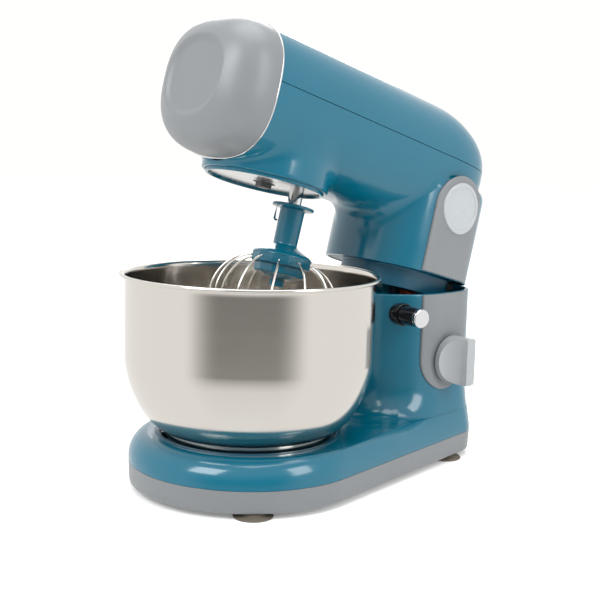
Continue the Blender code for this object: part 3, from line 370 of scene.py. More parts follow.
def metal(name, color, roughness, line_mm=0.0, depth_mm=0.0, centre=None, tilt=0.0, spread=0.06):
    """Bare metal; with line_mm, fine lines run round an upright axis through the centre.

    The lines are noise read along the height and the distance from the axis only, so they
    stay the same all the way round, as lathe or buffing lines do.
    """
    material, tree, shader = base_material(name, color, roughness, metallic=1.0)
    place = add(tree, "ShaderNodeTexCoord").outputs["Object"]
    smear = add(tree, "ShaderNodeTexNoise", {"Vector": place, "Scale": 1 / 0.03, "Detail": 3.0})
    source = smear.outputs["Fac"]
    if line_mm:
        centre = centre or (0, 0, 0)
        moved = add(tree, "ShaderNodeMapping", {
            "Vector": place, "Location": centre, "Rotation": (tilt, 0, 0)}, vector_type="TEXTURE")
        axes = add(tree, "ShaderNodeSeparateXYZ", {"Vector": moved.outputs["Vector"]})
        flat = add(tree, "ShaderNodeCombineXYZ", {"X": axes.outputs["X"], "Y": axes.outputs["Y"]})
        reach = add(tree, "ShaderNodeVectorMath", {0: flat.outputs["Vector"]}, operation="LENGTH")
        pair = add(tree, "ShaderNodeCombineXYZ", {
            "X": reach.outputs["Value"], "Z": axes.outputs["Z"]})
        lines = add(tree, "ShaderNodeTexNoise", {
            "Vector": pair.outputs["Vector"], "Scale": 1 / (line_mm * MM), "Detail": 4.0})
        bump = add(tree, "ShaderNodeBump", {
            "Height": lines.outputs["Fac"], "Distance": depth_mm * MM, "Strength": 0.6})
        tree.links.new(bump.outputs["Normal"], shader.inputs["Normal"])
        source = add(tree, "ShaderNodeMix", {
            0: 0.5, 2: smear.outputs["Fac"], 3: lines.outputs["Fac"]}).outputs[0]
    span = add(tree, "ShaderNodeMapRange", {
        "Value": source, "From Min": 0.35, "From Max": 0.65,
        "To Min": max(0.01, roughness - spread / 2), "To Max": roughness + spread})
    tree.links.new(span.outputs["Result"], shader.inputs["Roughness"])
    return material


HEAD_AXIS = level([(0, 0, 0.2)])[0]


def make_materials():
    """Every finish of the mixer, under the name of the record's slot it belongs to."""
    s = bpy.context.scene.mixer
    blue = (*s.body_color, 1.0)
    grey = (*s.panel_color, 1.0)
    return {
        # Gloss ABS: a polished tool gives a sharp, slightly wavy highlight.
        "blue_plastic": moulded("teal_abs_gloss_moulded", blue, 0.16, 9, 0.05, coat=0.25),
        "dark_blue_plastic": moulded("dark_teal_abs_moulded", linear("00506A"), 0.34, 0.8, 0.03),
        # Spark-etched ABS: a soft highlight with a fine even grain.
        "grey_plastic": moulded("grey_abs_satin_moulded", grey, 0.36, 0.7, 0.03),
        "light_grey_plastic": moulded("light_grey_abs_moulded", linear("A9AEB1"), 0.3, 0.7, 0.02),
        "black_plastic": moulded("black_acetal_moulded", linear("15161A"), 0.2, 1.5, 0.02),
        "red_plastic": moulded("red_nylon_moulded", linear("A8402C"), 0.4, 0.8, 0.03),
        "foot_rubber": moulded("grey_rubber_moulded", linear("5F584E"), 0.62, 0.6, 0.05, ior=1.51),
        "belt_rubber": moulded("black_rubber_belt", linear("1B1B1C"), 0.7, 0.8, 0.05, ior=1.51),
        "gear_plastic": moulded("natural_acetal_moulded", linear("DDD8C8"), 0.45, 0.9, 0.02, ior=1.48),
        "board_green": moulded("green_board_lacquered", linear("1D6A3A"), 0.35, 0.5, 0.02),
        "knob_silver": moulded("silver_paint_on_abs", linear("9DA1A4"), 0.34, 0.5, 0.02, coat=0.15),
        # Buffed stainless steel: rings left by the buffing wheel blur what it mirrors.
        "polished_steel": metal(
            "stainless_steel_buffed", linear("DAD6D0"), 0.12, 0.9, 0.004, (0, BOWL_Y, 0)),
        "drive_plate": metal(
            "stainless_steel_turned", linear("D6D5D2"), 0.2, 0.5, 0.01, tuple(HEAD_AXIS), -TILT),
        "wire_steel": metal("stainless_wire_drawn", linear("DEDCD8"), 0.14),
        "chrome": metal("chromium_plate", linear("E0E1E3"), 0.05, spread=0.02),
        "dark_steel": metal("mild_steel_oiled", linear("6E6E70"), 0.42),
        "cast_aluminium": metal("aluminium_cast", linear("B9BBBD"), 0.48),
        "bronze": metal("bronze_sintered", linear("9C7A48"), 0.45),
    }


MATERIALS = {}


def use(slot):
    if not MATERIALS:
        MATERIALS.update(make_materials())
    return MATERIALS[slot]


# ------------------------------------------------------------------ base and column

def housing_rings(inset, steps):
    """Rows of points from the base's edge, over the platform and its fillet, up the column.

    Each row lies along rays from the column's centre. On a ray, run is the way in from the
    base's edge and depth is the whole way to the column. The edge is a quarter of a rounded
    square of EDGE size, and the fillet another that meets the column at FILLET_TOP; both turn
    to plain quarter circles behind, where depth is small.
    """
    edge_size, fillet_size = 20 * MM, 25 * MM
    edge = resample(hull_outline(BASE_CIRCLES, inset), BASE_POINTS)
    offsets = edge - (0, COLUMN_Y)
    far = np.hypot(*offsets.T)
    directions = offsets / far[:, None]
    near = polar_reach(resample(hull_outline(COLUMN_CIRCLES, inset), 2880), directions)
    depth = far - near
    power = 2 / (1 + smoothstep(0, 60 * MM, depth))
    edge_run = np.minimum(edge_size, 0.45 * depth)
    fillet_run = np.minimum(fillet_size, 0.5 * depth)

    def row(run, z):
        return np.column_stack([(0, COLUMN_Y) + directions * (far - run)[:, None], z])

    rows = [row(0 * depth, 0 * depth + TRAY_TOP + 0.3 * MM)]
    for turn in np.linspace(0, math.pi / 2, steps):
        rise = edge_size * math.sin(turn) ** power
        rows.append(row(edge_run * (1 - math.cos(turn) ** power), PLATFORM_Z - edge_size - inset + rise))
    for share in np.linspace(0, 1, steps + 4)[1:-1]:
        run = edge_run + share * (depth - edge_run - fillet_run)
        rows.append(row(run, 0 * depth + PLATFORM_Z - inset))
    for turn in np.linspace(0, math.pi / 2, steps):
        drop = (FILLET_TOP - PLATFORM_Z) * math.cos(turn) ** power
        run = depth - fillet_run * (1 - math.sin(turn) ** power)
        rows.append(row(run, FILLET_TOP - inset - drop))
    for z in np.linspace(FILLET_TOP, COLUMN_TOP - 1.5 * MM, 12)[1:]:
        rows.append(row(depth, 0 * depth + z))
    for turn in np.linspace(0, math.pi / 2, 6)[1:]:
        run = depth + 1.5 * MM * (1 - math.cos(turn))
        rows.append(row(run, 0 * depth + COLUMN_TOP - 1.5 * MM * (1 - math.sin(turn))))
    for inward, z in ((3 * MM, 0), (3.2 * MM, 1 * MM), (3.2 * MM, 26 * MM)):
        rows.append(row(depth + inward, 0 * depth + COLUMN_TOP - z))
    return np.array(rows)


def snap_hole(points, centre, reach):
    """A grid's points, with those nearer than reach to the centre moved out to that distance
    along their own direction, and a mask of the ones that moved."""
    flat = points.reshape(-1, 3).copy()
    offsets = flat[:, :2] - centre
    distance = np.hypot(*offsets.T)
    inside = distance < reach
    safe = np.maximum(distance, 1e-9)
    moved = np.asarray(centre) + offsets / safe[:, None] * reach
    flat[inside, :2] = moved[inside]
    return flat, inside


class MIXER_OT_base(bpy.types.Operator):
    """Blue housing of the base and column, the grey band below it and the seat of the bowl"""
    bl_idname = "mixer.base"
    bl_label = "Base and Column"

    def execute(self, context):
        rows = housing_rings(0, 26)
        quads = grid_faces(len(rows), BASE_POINTS)
        flat, inside = snap_hole(rows, (0, 0), SEAT_RADIUS - 0.1 * MM)
        inside &= flat[:, 2] < PLATFORM_Z + 1 * MM
        flat = np.where(inside[:, None], flat, rows.reshape(-1, 3))
        quads = quads[~inside[quads].all(axis=1)]
        shell = solid_mesh("base_shell", fixed(flat), quads, use("blue_plastic"), 60)
        settle(shell, "base", "blue_plastic", "base_housing")
        self.band()
        self.seat()
        return {"FINISHED"}

    def band(self):
        """Tray rows: the base's outline set in a little, carried up a rounded profile."""
        profile = rounded([
            (20 * MM, TRAY_LOW), (1 * MM, TRAY_LOW), (0, TRAY_TOP), (3.2 * MM, TRAY_TOP)],
            [0, 2.2 * MM, 0.7 * MM, 0], 8)
        outline = hull_outline(BASE_CIRCLES, 0, BASE_POINTS)
        rows = []
        for inset, z in profile:
            ring = resample(hull_outline(BASE_CIRCLES, inset), BASE_POINTS)
            rows.append(np.column_stack([ring, np.full(BASE_POINTS, z)]))
        floor = np.column_stack([outline * CLOSED_SHARE + (0, 0.1), np.full(BASE_POINTS, TRAY_LOW)])
        rows.insert(0, floor)
        band = solid_mesh(
            "base_band", fixed(rows), grid_faces(len(rows), BASE_POINTS), use("grey_plastic"), 50)
        settle(band, "base", "grey_plastic", "base_tray")

    def seat(self):
        lip = PLATFORM_Z + 0.5 * MM
        outer, inner = SEAT_RADIUS - 0.3 * MM, 78.5 * MM
        profile = rounded([
            (outer, 44 * MM), (outer, lip), (inner, lip), (inner, 37 * MM), (6 * MM, 37 * MM),
            (0, 37 * MM)], [0, 0.8 * MM, 0.8 * MM, 2 * MM, 0, 0], 6)
        seat = turned("bowl_seat_dish", profile, 192, fixed, use("dark_blue_plastic"))
        settle(seat, "base", "dark_blue_plastic", "bowl_seat")
        for name in [n for n in frame["nodes"] if n.startswith("foot_")]:
            low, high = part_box(name)
            middle = ((low.x + high.x) / 2, (low.y + high.y) / 2 - BOWL_Y, 0)
            profile = rounded([
                (0, high.z), (10 * MM, high.z), (11.5 * MM, 3 * MM), (15 * MM, 2 * MM), (17 * MM, 1.2 * MM),
                (17 * MM, 0), (12 * MM, 0), (0, 1.6 * MM)], 0.8 * MM, 5)
            foot = turned(
                name.replace("foot", "rubber_foot"), profile, 72,
                lambda p, m=middle: fixed(np.asarray(p).reshape(-1, 3) + m), use("foot_rubber"))
            settle(foot, "base", "foot_rubber", name)


# ------------------------------------------------------------------ side panels and controls

def panel_mesh(name, y, z, lift, side, put, material):
    """A plate on the column's side, from grids of y and z and of its height off the side.

    The outer face is at the column's half-width plus lift; one more row and column on every
    side tucks the edge in to the column, so the plate is closed against it.
    """
    y, z, lift = (np.pad(a, 1, mode="edge") for a in (y, z, lift))
    lift[0, :] = lift[-1, :] = lift[:, 0] = lift[:, -1] = 0.25 * MM
    x = (column_side(y) + lift) * side
    points = np.stack([x, y, z], axis=-1)
    quads = grid_faces(*y.shape, round_columns=False, flip=side < 0)
    return solid_mesh(name, put(points), quads, material, 50)


def tongue(half_width, straight_z, round_z, rows=90, columns=96):
    """Grid (y, z) of a panel with one straight end and one half-round end, and each point's
    distance in from its edge. Columns are spaced as the cosine of an even turn."""
    turn = np.linspace(math.pi, 0, columns)
    share = np.linspace(0, 1, rows)[:, None]
    share = 0.5 - 0.5 * np.cos(math.pi * share)
    y = np.repeat((TRIM_Y + half_width * np.cos(turn))[None], rows, 0)
    end = round_z + math.copysign(1, round_z - straight_z) * half_width * np.sin(turn)
    z = straight_z + share * (end - straight_z)
    toward = math.copysign(1, round_z - straight_z)
    beyond = np.maximum((z - round_z) * toward, 0)
    inward = half_width - np.hypot(y - TRIM_Y, beyond)
    inward = np.minimum(inward, np.abs(z - straight_z))
    return y, z, np.maximum(inward, 0)


def edge_round(inward, radius):
    """Height lost near an edge: that of a quarter circle of this radius."""
    t = np.clip(1 - inward / radius, 0, 1)
    return radius * (1 - np.sqrt(1 - t * t))


class MIXER_OT_panels(bpy.types.Operator):
    """Grey panels on the sides of the column and the arm, with round badges"""
    bl_idname = "mixer.panels"
    bl_label = "Side Panels"

    def execute(self, context):
        grey = use("grey_plastic")
        y, z, inward = tongue(TRIM_HALF_WIDTH, COLUMN_TOP - 0.5 * MM, 103 * MM)
        lift = 2.3 * MM - edge_round(inward, 1.2 * MM)
        dish = np.hypot(y - KNOB_Y, z - KNOB_Z)
        for side, name, node in (
                (1, "control_fascia", "control_panel"), (-1, "column_fascia_left", "column_trim_left")):
            recess = 0.5 * MM * (1 - smoothstep(25 * MM, 26.5 * MM, dish)) if side > 0 else 0
            settle(panel_mesh(name, y, z, lift - recess, side, fixed, grey), "base", "grey_plastic", node)
        y, z, inward = tongue(TRIM_HALF_WIDTH, ARM_LOW + 0.5 * MM, BADGE_Z)
        lift = 2.3 * MM - edge_round(inward, 1.2 * MM)
        for side, end in ((1, "right"), (-1, "left")):
            panel = panel_mesh("arm_fascia_" + end, y, z, lift, side, level, grey)
            settle(panel, "head", "grey_plastic", "arm_trim_" + end)
            self.badge(side, end)
        return {"FINISHED"}

    def badge(self, side, end):
        """Round badge on a polar grid: a raised rim, a dished face and a six-petal relief."""
        radius = 24.5 * MM
        r, t = np.meshgrid(np.linspace(0, radius, 70), np.linspace(0, 2 * math.pi, 193), indexing="ij")
        rim = smoothstep(20.5 * MM, 21.5 * MM, r)
        petal = (0.5 + 0.5 * np.cos(6 * t)) * smoothstep(2 * MM, 6 * MM, r)
        petal = petal * (1 - smoothstep(9 * MM, 13 * MM, r))
        height = 2.9 * MM + 0.9 * MM * rim + 0.45 * MM * petal - edge_round(radius - r, 1 * MM)
        y, z = TRIM_Y + r * np.cos(t), BADGE_Z + r * np.sin(t)
        badge = panel_mesh("badge_plate_" + end, y, z, height, side, level, use("light_grey_plastic"))
        settle(badge, "head", "light_grey_plastic", "badge_" + end)


class MIXER_OT_controls(bpy.types.Operator):
    """Speed knob, head release button and cable gland"""
    bl_idname = "mixer.controls"
    bl_label = "Controls"

    def execute(self, context):
        self.knob()
        self.release()
        profile = rounded([
            (9 * MM, 20 * MM), (9 * MM, 27 * MM), (3.6 * MM, 27 * MM), (3.6 * MM, 8 * MM)],
            [0, 1 * MM, 0.8 * MM, 0], 6)
        x, y, z = 0, 229 * MM, 36 * MM

        def backwards(points):
            a, b, c = np.asarray(points, float).reshape(-1, 3).T
            return fixed(np.stack([a + x, c + y, z - b], axis=1))

        gland = turned("cable_grommet", profile, 64, backwards, use("black_plastic"))
        settle(gland, "base", "black_plastic", "cable_gland")
        return {"FINISHED"}

    def knob(self):
        """Height over a disc: the lower of a flat front and two scoops either side of a grip.

        Each scoop is a cylinder with an upright axis; where its distance from the axis is d
        and its radius R, the surface stands sqrt(R^2 - d^2) below the axis. The lower of the
        surfaces is blended over a millimetre, and the rim is rounded.
        """
        radius, back, length = 23 * MM, 67 * MM, 25.5 * MM
        grip, scoop = 6 * MM, 21 * MM
        r, t = np.meshgrid(
            radius * np.linspace(0, 1, 120) ** 0.9, np.linspace(0, 2 * math.pi, 257)[:-1], indexing="ij")
        y, z = r * np.cos(t), r * np.sin(t)
        across = np.abs(y) - grip - scoop
        deep = np.sqrt(np.maximum(scoop ** 2 - across ** 2, 0))
        wall = smoothstep(grip - 0.6 * MM, grip + 0.9 * MM, np.abs(y))
        front = length - edge_round(radius - r, 1.6 * MM)
        carved = length + 0.5 * MM - deep
        height = front * (1 - wall) + np.minimum(front, carved) * wall
        side = np.stack([y[-1], z[-1]], -1)
        rows = [np.column_stack([np.full(256, back), side * CLOSED_SHARE]),
                np.column_stack([np.full(256, back), side * 0.97]),
                np.column_stack([np.full(256, back + 0.7 * MM), side])]
        for share in np.linspace(0.1, 0.97, 14):
            top = height[-1] - 0.2 * MM
            rows.append(np.column_stack([back + 0.7 * MM + share * (top - 0.7 * MM), side]))
        for k in range(119, -1, -1):
            rows.append(np.column_stack([back + height[k], y[k], z[k]]))
        points = np.array(rows) + (0, KNOB_Y, KNOB_Z)
        knob = solid_mesh("speed_dial", fixed(points), grid_faces(len(rows), 256), use("knob_silver"), 45)
        settle(knob, "knob", "knob_silver", "speed_knob")

    def release(self):
        put = sideways(BUTTON, BUTTON_YAW)
        r = 8.75 * MM
        stem = turned("release_plunger", rounded(
            [(0, -8 * MM), (r, -8 * MM), (r, 29 * MM), (0, 29 * MM)], 0.5 * MM, 5),
            96, put, use("black_plastic"))
        settle(stem, "release", "black_plastic", "release_stem")
        cap = turned("release_button", rounded(
            [(0, 29.3 * MM), (r, 29.3 * MM), (r, 33.3 * MM), (0, 33.3 * MM)], [0, 0.5 * MM, 1.4 * MM, 0], 8),
            96, put, use("chrome"))
        settle(cap, "release", "chrome", "release_cap")
        collar = turned("release_sleeve", rounded(
            [(10.5 * MM, -3 * MM), (10.5 * MM, 7.5 * MM), (9.2 * MM, 7.5 * MM), (9.2 * MM, -3 * MM)],
            0.6 * MM, 5, True), 96, put, use("black_plastic"), True)
        settle(collar, "base", "black_plastic", "release_collar")


# ------------------------------------------------------------------ head

def soft_min(a, b, k):
    """The lesser of two distances, with the crease between them filled over a width k."""
    h = np.maximum(k - np.abs(a - b), 0) / k
    return np.minimum(a, b) - h * h * k / 4


def plan_distance(x, y):
    """Signed distance in plan to the column's outline.

    The outline is a convex hull, so the distance is the greatest of n . p - reach(n), where
    reach(n) is how far the hull goes along n. Only four normals can be the greatest: from
    the front circle's centre, from the rear one's, square to their tangent, and straight back.
    """
    x = np.abs(x)
    (ax, ay, ar), (bx, by, br) = COLUMN_CIRCLES[0], COLUMN_CIRCLES[1]
    run, rise = bx - ax, by - ay
    span = math.hypot(run, rise)
    lean = math.acos((ar - br) / span)
    heading = math.atan2(rise, run) - lean
    best = y - (by + br)
    for nx, ny in (
            (x - ax, y - ay), (x - bx, y - by),
            (math.cos(heading) + 0 * x, math.sin(heading) + 0 * x)):
        size = np.maximum(np.hypot(nx, ny), 1e-9)
        nx, ny = nx / size, ny / size
        reach = np.maximum(nx * ax + ny * ay + ar, np.abs(nx) * bx + ny * by + br)
        best = np.maximum(best, nx * x + ny * y - reach)
    return best


def barrel_distance(x, y, z):
    """Rounded-square section of power 2.6 along Y; behind 167 mm it shrinks to a round end."""
    s = bpy.context.scene.mixer
    along = np.clip((y - 167 * MM) / (84.6 * MM), 0, 0.9995)
    wide = s.head_half_width * (1 - along ** 3) ** (1 / 3)
    high = s.head_half_height * np.sqrt(1 - along ** 2)
    size = ((np.abs(x) / wide) ** BARREL_POWER + (np.abs(z - BARREL_Z) / high) ** BARREL_POWER) ** (1 / BARREL_POWER)
    return np.maximum((size - 1) * high, y - 252 * MM)


def head_distance(x, y, z):
    """Barrel, arm and drum in one: less than zero inside, creases filled where they meet."""
    arm = plan_distance(x, y)
    shoulder = z - 262 * MM
    arm = -soft_min(-arm, -shoulder, 14 * MM)
    drum = np.hypot(x, y) - DRUM_RADIUS
    drum = -soft_min(-drum, -(DRUM_LOW - z), 2.5 * MM)
    drum = -soft_min(-drum, -shoulder, 14 * MM)
    fill = (1 - smoothstep(25 * MM, 58 * MM, np.abs(x))) * (1 - smoothstep(150 * MM, 185 * MM, y))
    barrel = barrel_distance(x, y, z)
    both = soft_min(barrel, arm, 2 * MM + 18 * MM * fill)
    return soft_min(both, drum, 7 * MM)


def head_stations():
    """Centres and outward axes of the planes that slice the head.

    Upright planes run along the barrel to PIVOT, then planes fan round the pivot from
    upright to level, and level ones run down the arm. Each plane holds the X axis, so one
    centre and one second axis say where it is.
    """
    pivot_y, pivot_z = 88 * MM, 188 * MM
    turn = np.linspace(0, math.pi, 116)
    drum = -DRUM_RADIUS * (0.75 * np.cos(turn) + 0.25 * (1 - 2 * turn / math.pi))
    along = np.concatenate([drum, np.linspace(58 * MM, pivot_y, 20)])
    centres = [(y, 268 * MM) for y in along]
    axes = [(0, 1)] * len(along)
    for turn in np.linspace(math.pi / 2, 0, 130)[1:]:
        share = 1 - turn / (math.pi / 2)
        reach = (80 + 14 * share) * MM
        centres.append((pivot_y + reach * math.cos(turn), pivot_z + reach * math.sin(turn)))
        axes.append((math.cos(turn), math.sin(turn)))
    for z in np.linspace(pivot_z, ARM_LOW, 12)[1:]:
        centres.append((COLUMN_Y, z))
        axes.append((1, 0))
    return np.array(centres), np.array(axes, float)


def head_points(columns=150):
    """Grid of the head's skin: one row for each plane, and columns from top to underside.

    Along each ray from a plane's centre the skin is where head_distance turns from less to
    more than zero, found by halving. Columns are then spread by length plus 5 mm for each
    radian of bend, so they crowd at the tight curves.
    """
    centres, axes = head_stations()
    ray = np.linspace(0, math.pi, 500)
    dx, du = np.sin(ray)[None], np.cos(ray)[None]
    low = np.full((len(centres), len(ray)), 4 * MM)
    high = np.full_like(low, 170 * MM)
    for _ in range(24):
        mid = (low + high) / 2
        y = centres[:, :1] + axes[:, :1] * du * mid
        z = centres[:, 1:] + axes[:, 1:] * du * mid
        inside = head_distance(dx * mid, y, z) < 0
        low, high = np.where(inside, mid, low), np.where(inside, high, mid)
    x = dx * low
    u = du * low
    out = np.empty((len(centres), columns, 2))
    for k in range(len(centres)):
        step = np.hypot(np.diff(x[k]), np.diff(u[k]))
        angle = np.unwrap(np.arctan2(np.diff(u[k]), np.diff(x[k])))
        bend = np.concatenate([[0], np.abs(np.diff(angle))])
        spent = np.concatenate([[0], np.cumsum(step + 5 * MM * bend)])
        wanted = np.linspace(0, spent[-1], columns)
        out[k, :, 0] = np.interp(wanted, spent, x[k])
        out[k, :, 1] = np.interp(wanted, spent, u[k])
    out[:, 0, 0] = out[:, -1, 0] = 0
    right = np.empty((len(centres), columns, 3))
    right[..., 0] = out[..., 0]
    right[..., 1] = centres[:, :1] + axes[:, :1] * out[..., 1]
    right[..., 2] = centres[:, 1:] + axes[:, 1:] * out[..., 1]
    left = right[:, -2:0:-1] * (-1, 1, 1)
    return np.concatenate([right, left], axis=1)


def split_at_seam(obj, name, above, lip=1.6 * MM):
    """Cut a level mesh at the seam, keep one side, and turn the cut edge in by lip."""
    bm = bmesh.new()
    bm.from_mesh(obj.data)
    place = SEAM_Z + (0.3 if above else -0.3) * MM
    bmesh.ops.bisect_plane(
        bm, geom=bm.verts[:] + bm.edges[:] + bm.faces[:], plane_co=(0, 0, place),
        plane_no=(0, 0, 1), clear_inner=above, clear_outer=not above)
    rim = [
        e for e in bm.edges
        if e.is_boundary and all(abs(v.co.z - place) < 0.01 * MM for v in e.verts)]
    grown = bmesh.ops.extrude_edge_only(bm, edges=rim)["geom"]
    fresh = [g for g in grown if isinstance(g, bmesh.types.BMVert)]
    for vert in fresh:
        behind = 0 if abs(vert.co.y) < 0.1 else vert.co.y - 0.17
        inward = Vector((vert.co.x, behind, 0))
        vert.co -= inward.normalized() * lip
    bmesh.ops.recalc_face_normals(bm, faces=bm.faces)
    mesh = bpy.data.meshes.new(name)
    bm.to_mesh(mesh)
    bm.free()
    points = np.empty(len(mesh.vertices) * 3)
    mesh.vertices.foreach_get("co", points)
    mesh.vertices.foreach_set("co", level(points).astype(np.float32).ravel())
    mesh.shade_smooth()
    mesh.set_sharp_from_angle(angle=math.radians(50))
    mesh.materials.append(use("blue_plastic"))
    piece = bpy.data.objects.new(name, mesh)
    bpy.context.scene.collection.objects.link(piece)
    return piece


class MIXER_OT_head(bpy.types.Operator):
    """Blue shells of the head: barrel, arm and drum in one smooth form, parted at a seam"""
    bl_idname = "mixer.head"
    bl_label = "Head Shells"

    def execute(self, context):
        rows = head_points()
        width = rows.shape[1]
        tuck = rows[-1].copy()
        middle = np.array((0, COLUMN_Y, 0))
        inner = tuck.copy()
        inner[:, :2] = middle[:2] + (tuck[:, :2] - middle[:2]) * 0.955
        raised = inner + (0, 0, 6 * MM)
        nose = rows[0] * (0.955, 1, 1)
        nose[:, 2] = BARREL_Z + (rows[0][:, 2] - BARREL_Z) * 0.955
        rows = np.concatenate([nose[None], rows, inner[None], raised[None]])
        quads = grid_faces(len(rows), width)
        flat, inside = snap_hole(rows, (0, 0), DRUM_RADIUS - 3 * MM)
        inside &= np.abs(flat[:, 2] - DRUM_LOW) < 0.35 * MM
        flat = np.where(inside[:, None], flat, rows.reshape(-1, 3))
        quads = quads[~inside[quads].all(axis=1)]
        whole = solid_mesh("head_whole", flat, quads, use("blue_plastic"), 60)
        upper = split_at_seam(whole, "head_upper_shell", True)
        lower = split_at_seam(whole, "head_lower_shell", False)
        bpy.data.objects.remove(whole)
        settle(upper, "head", "blue_plastic", "head_top_cover")
        settle(lower, "head", "blue_plastic", "head_lower_housing")
        well = turned("drum_well", [
            (53.5 * MM, DRUM_LOW + 0.2 * MM), (53.4 * MM, 217 * MM), (0, 217 * MM)], 160, level,
            use("dark_blue_plastic"))
        settle(well, "head", "dark_blue_plastic")
        self.nose()
        self.skirt()
        return {"FINISHED"}

    def nose(self):
        """End cap: at turn t the head's section shrinks as cos(t) and comes forward as sin(t),
        both to the power 2 / 2.6, to a shallow dish with the same squarish outline in the face."""
        back = BARREL_FRONT - 2.6 * MM
        depth, count = 45.4 * MM, 400
        section = superellipse(61.5 * MM, 58.5 * MM, BARREL_POWER, count)
        heading = np.arctan2(section[:, 1], section[:, 0])
        circle = np.stack([np.cos(heading), np.sin(heading)], axis=1)
        rows = [np.stack([section[:, 0] * 0.95, np.full(count, back), section[:, 1] * 0.95], 1)]
        turns = np.radians(np.linspace(0, 60, 90))
        for turn in turns:
            ring = section * math.cos(turn) ** (2 / BARREL_POWER)
            share = 0.4 * smoothstep(math.radians(44), math.radians(60), turn)
            size = np.hypot(*ring.T).mean()
            ring = ring * (1 - share) + circle * size * share
            y = back - depth * math.sin(turn) ** (2 / BARREL_POWER)
            rows.append(np.stack([ring[:, 0], np.full(count, y), ring[:, 1]], 1))
        edge = rows[-1]
        for share in np.linspace(1, 0, 40)[1:]:
            drop = 2.4 * MM * (1 - smoothstep(0.80, 0.99, share))
            rows.append(edge * (share, 1, share) + (0, drop, 0))
        points = np.array(rows) + (0, 0, BARREL_Z)
        cap = solid_mesh("nose_shell", level(points), grid_faces(len(rows), count), use("grey_plastic"), 50)
        settle(cap, "head", "grey_plastic", "nose_cap")
        rows = []
        for inset, y in rounded([
                (3 * MM, -0.4 * MM), (-0.8 * MM, -0.4 * MM), (-0.8 * MM, -2.2 * MM), (3 * MM, -2.2 * MM)],
                [0, 0.6 * MM, 0.6 * MM, 0], 6):
            ring = superellipse(60 * MM - inset, 59 * MM - inset, BARREL_POWER, count)
            rows.append(np.stack([ring[:, 0], np.full(count, BARREL_FRONT + y), ring[:, 1] + BARREL_Z], 1))
        band = solid_mesh("nose_band", level(rows), grid_faces(len(rows), count), use("chrome"), 50)
        settle(band, "head", "chrome", "chrome_ring")

    def skirt(self):
        """Underside of the arm: the column's outline carried round a stepped ring.

        The middle stays open, so the latch and the hinge brackets pass up into the arm, and
        the skirt stands clear of the pressed release plunger.
        """
        low, high = ARM_LOW + 0.6 * MM, ARM_LOW + 3.4 * MM
        profile = rounded([
            (3.4 * MM, high), (3.4 * MM, low), (17 * MM, low), (17 * MM, 149 * MM),
            (19 * MM, 149 * MM), (19 * MM, high), (3.4 * MM, high)],
            [0, 0.8 * MM, 2 * MM, 0.8 * MM, 0.8 * MM, 0.5 * MM, 0], 5)
        rows = []
        for inset, z in profile:
            outline = resample(hull_outline(COLUMN_CIRCLES, inset), 480)
            rows.append(np.column_stack([outline, np.full(480, z)]))
        plate = solid_mesh(
            "arm_underside", level(rows), grid_faces(len(rows), 480), use("dark_blue_plastic"), 50)
        settle(plate, "head", "dark_blue_plastic", "arm_bottom_plate")


# ------------------------------------------------------------------ drive, whisk and bowl

class MIXER_OT_drive(bpy.types.Operator):
    """Planetary carrier under the drum with its bright plate, bolt and drive shaft"""
    bl_idname = "mixer.drive"
    bl_label = "Planetary Drive"

    def execute(self, context):
        edge, lip, low = 52.8 * MM, 49.8 * MM, 206 * MM
        carrier = turned("planetary_carrier", rounded([
            (12 * MM, 216 * MM), (edge, 216 * MM), (edge, low), (lip, low), (lip, low + 4.6 * MM),
            (0, low + 4.6 * MM)], [0, 0.6 * MM, 1.2 * MM, 0.7 * MM, 0.4 * MM, 0], 6), 200, level,
            use("blue_plastic"))
        settle(carrier, "planetary", "blue_plastic", "planet_carrier")
        plate = turned("drive_cover_plate", rounded([
            (lip - 0.6 * MM, low + 4.3 * MM), (lip - 0.6 * MM, low + 2.3 * MM), (14 * MM, low + 2.3 * MM),
            (11 * MM, low + 3.1 * MM), (0, low + 3.1 * MM)], [0, 0.5 * MM, 1.5 * MM, 1.5 * MM, 0], 6),
            200, level, use("drive_plate"))
        settle(plate, "planetary", "polished_steel", "planetary_plate")
        top = low + 2.0 * MM
        bolt = turned("hexagon_bolt", rounded([
            (10 * MM, top), (10 * MM, top - 0.9 * MM), (7.2 * MM, top - 0.9 * MM), (7.2 * MM, top - 4.4 * MM),
            (6.2 * MM, top - 5 * MM), (0, top - 5 * MM)], 0.3 * MM, 4), 96, level, use("dark_steel"), sides=6)
        settle(bolt, "planetary", "dark_steel", "carrier_bolt")
        r = 6.5 * MM
        shaft = turned("drive_spindle", rounded([
            (0, 233 * MM), (r, 233 * MM), (r, FLANGE_Z - 28 * MM), (0, FLANGE_Z - 28 * MM)], 1 * MM, 6),
            96, beside, use("chrome"))
        settle(shaft, "beater", "chrome", "drive_shaft")
        return {"FINISHED"}


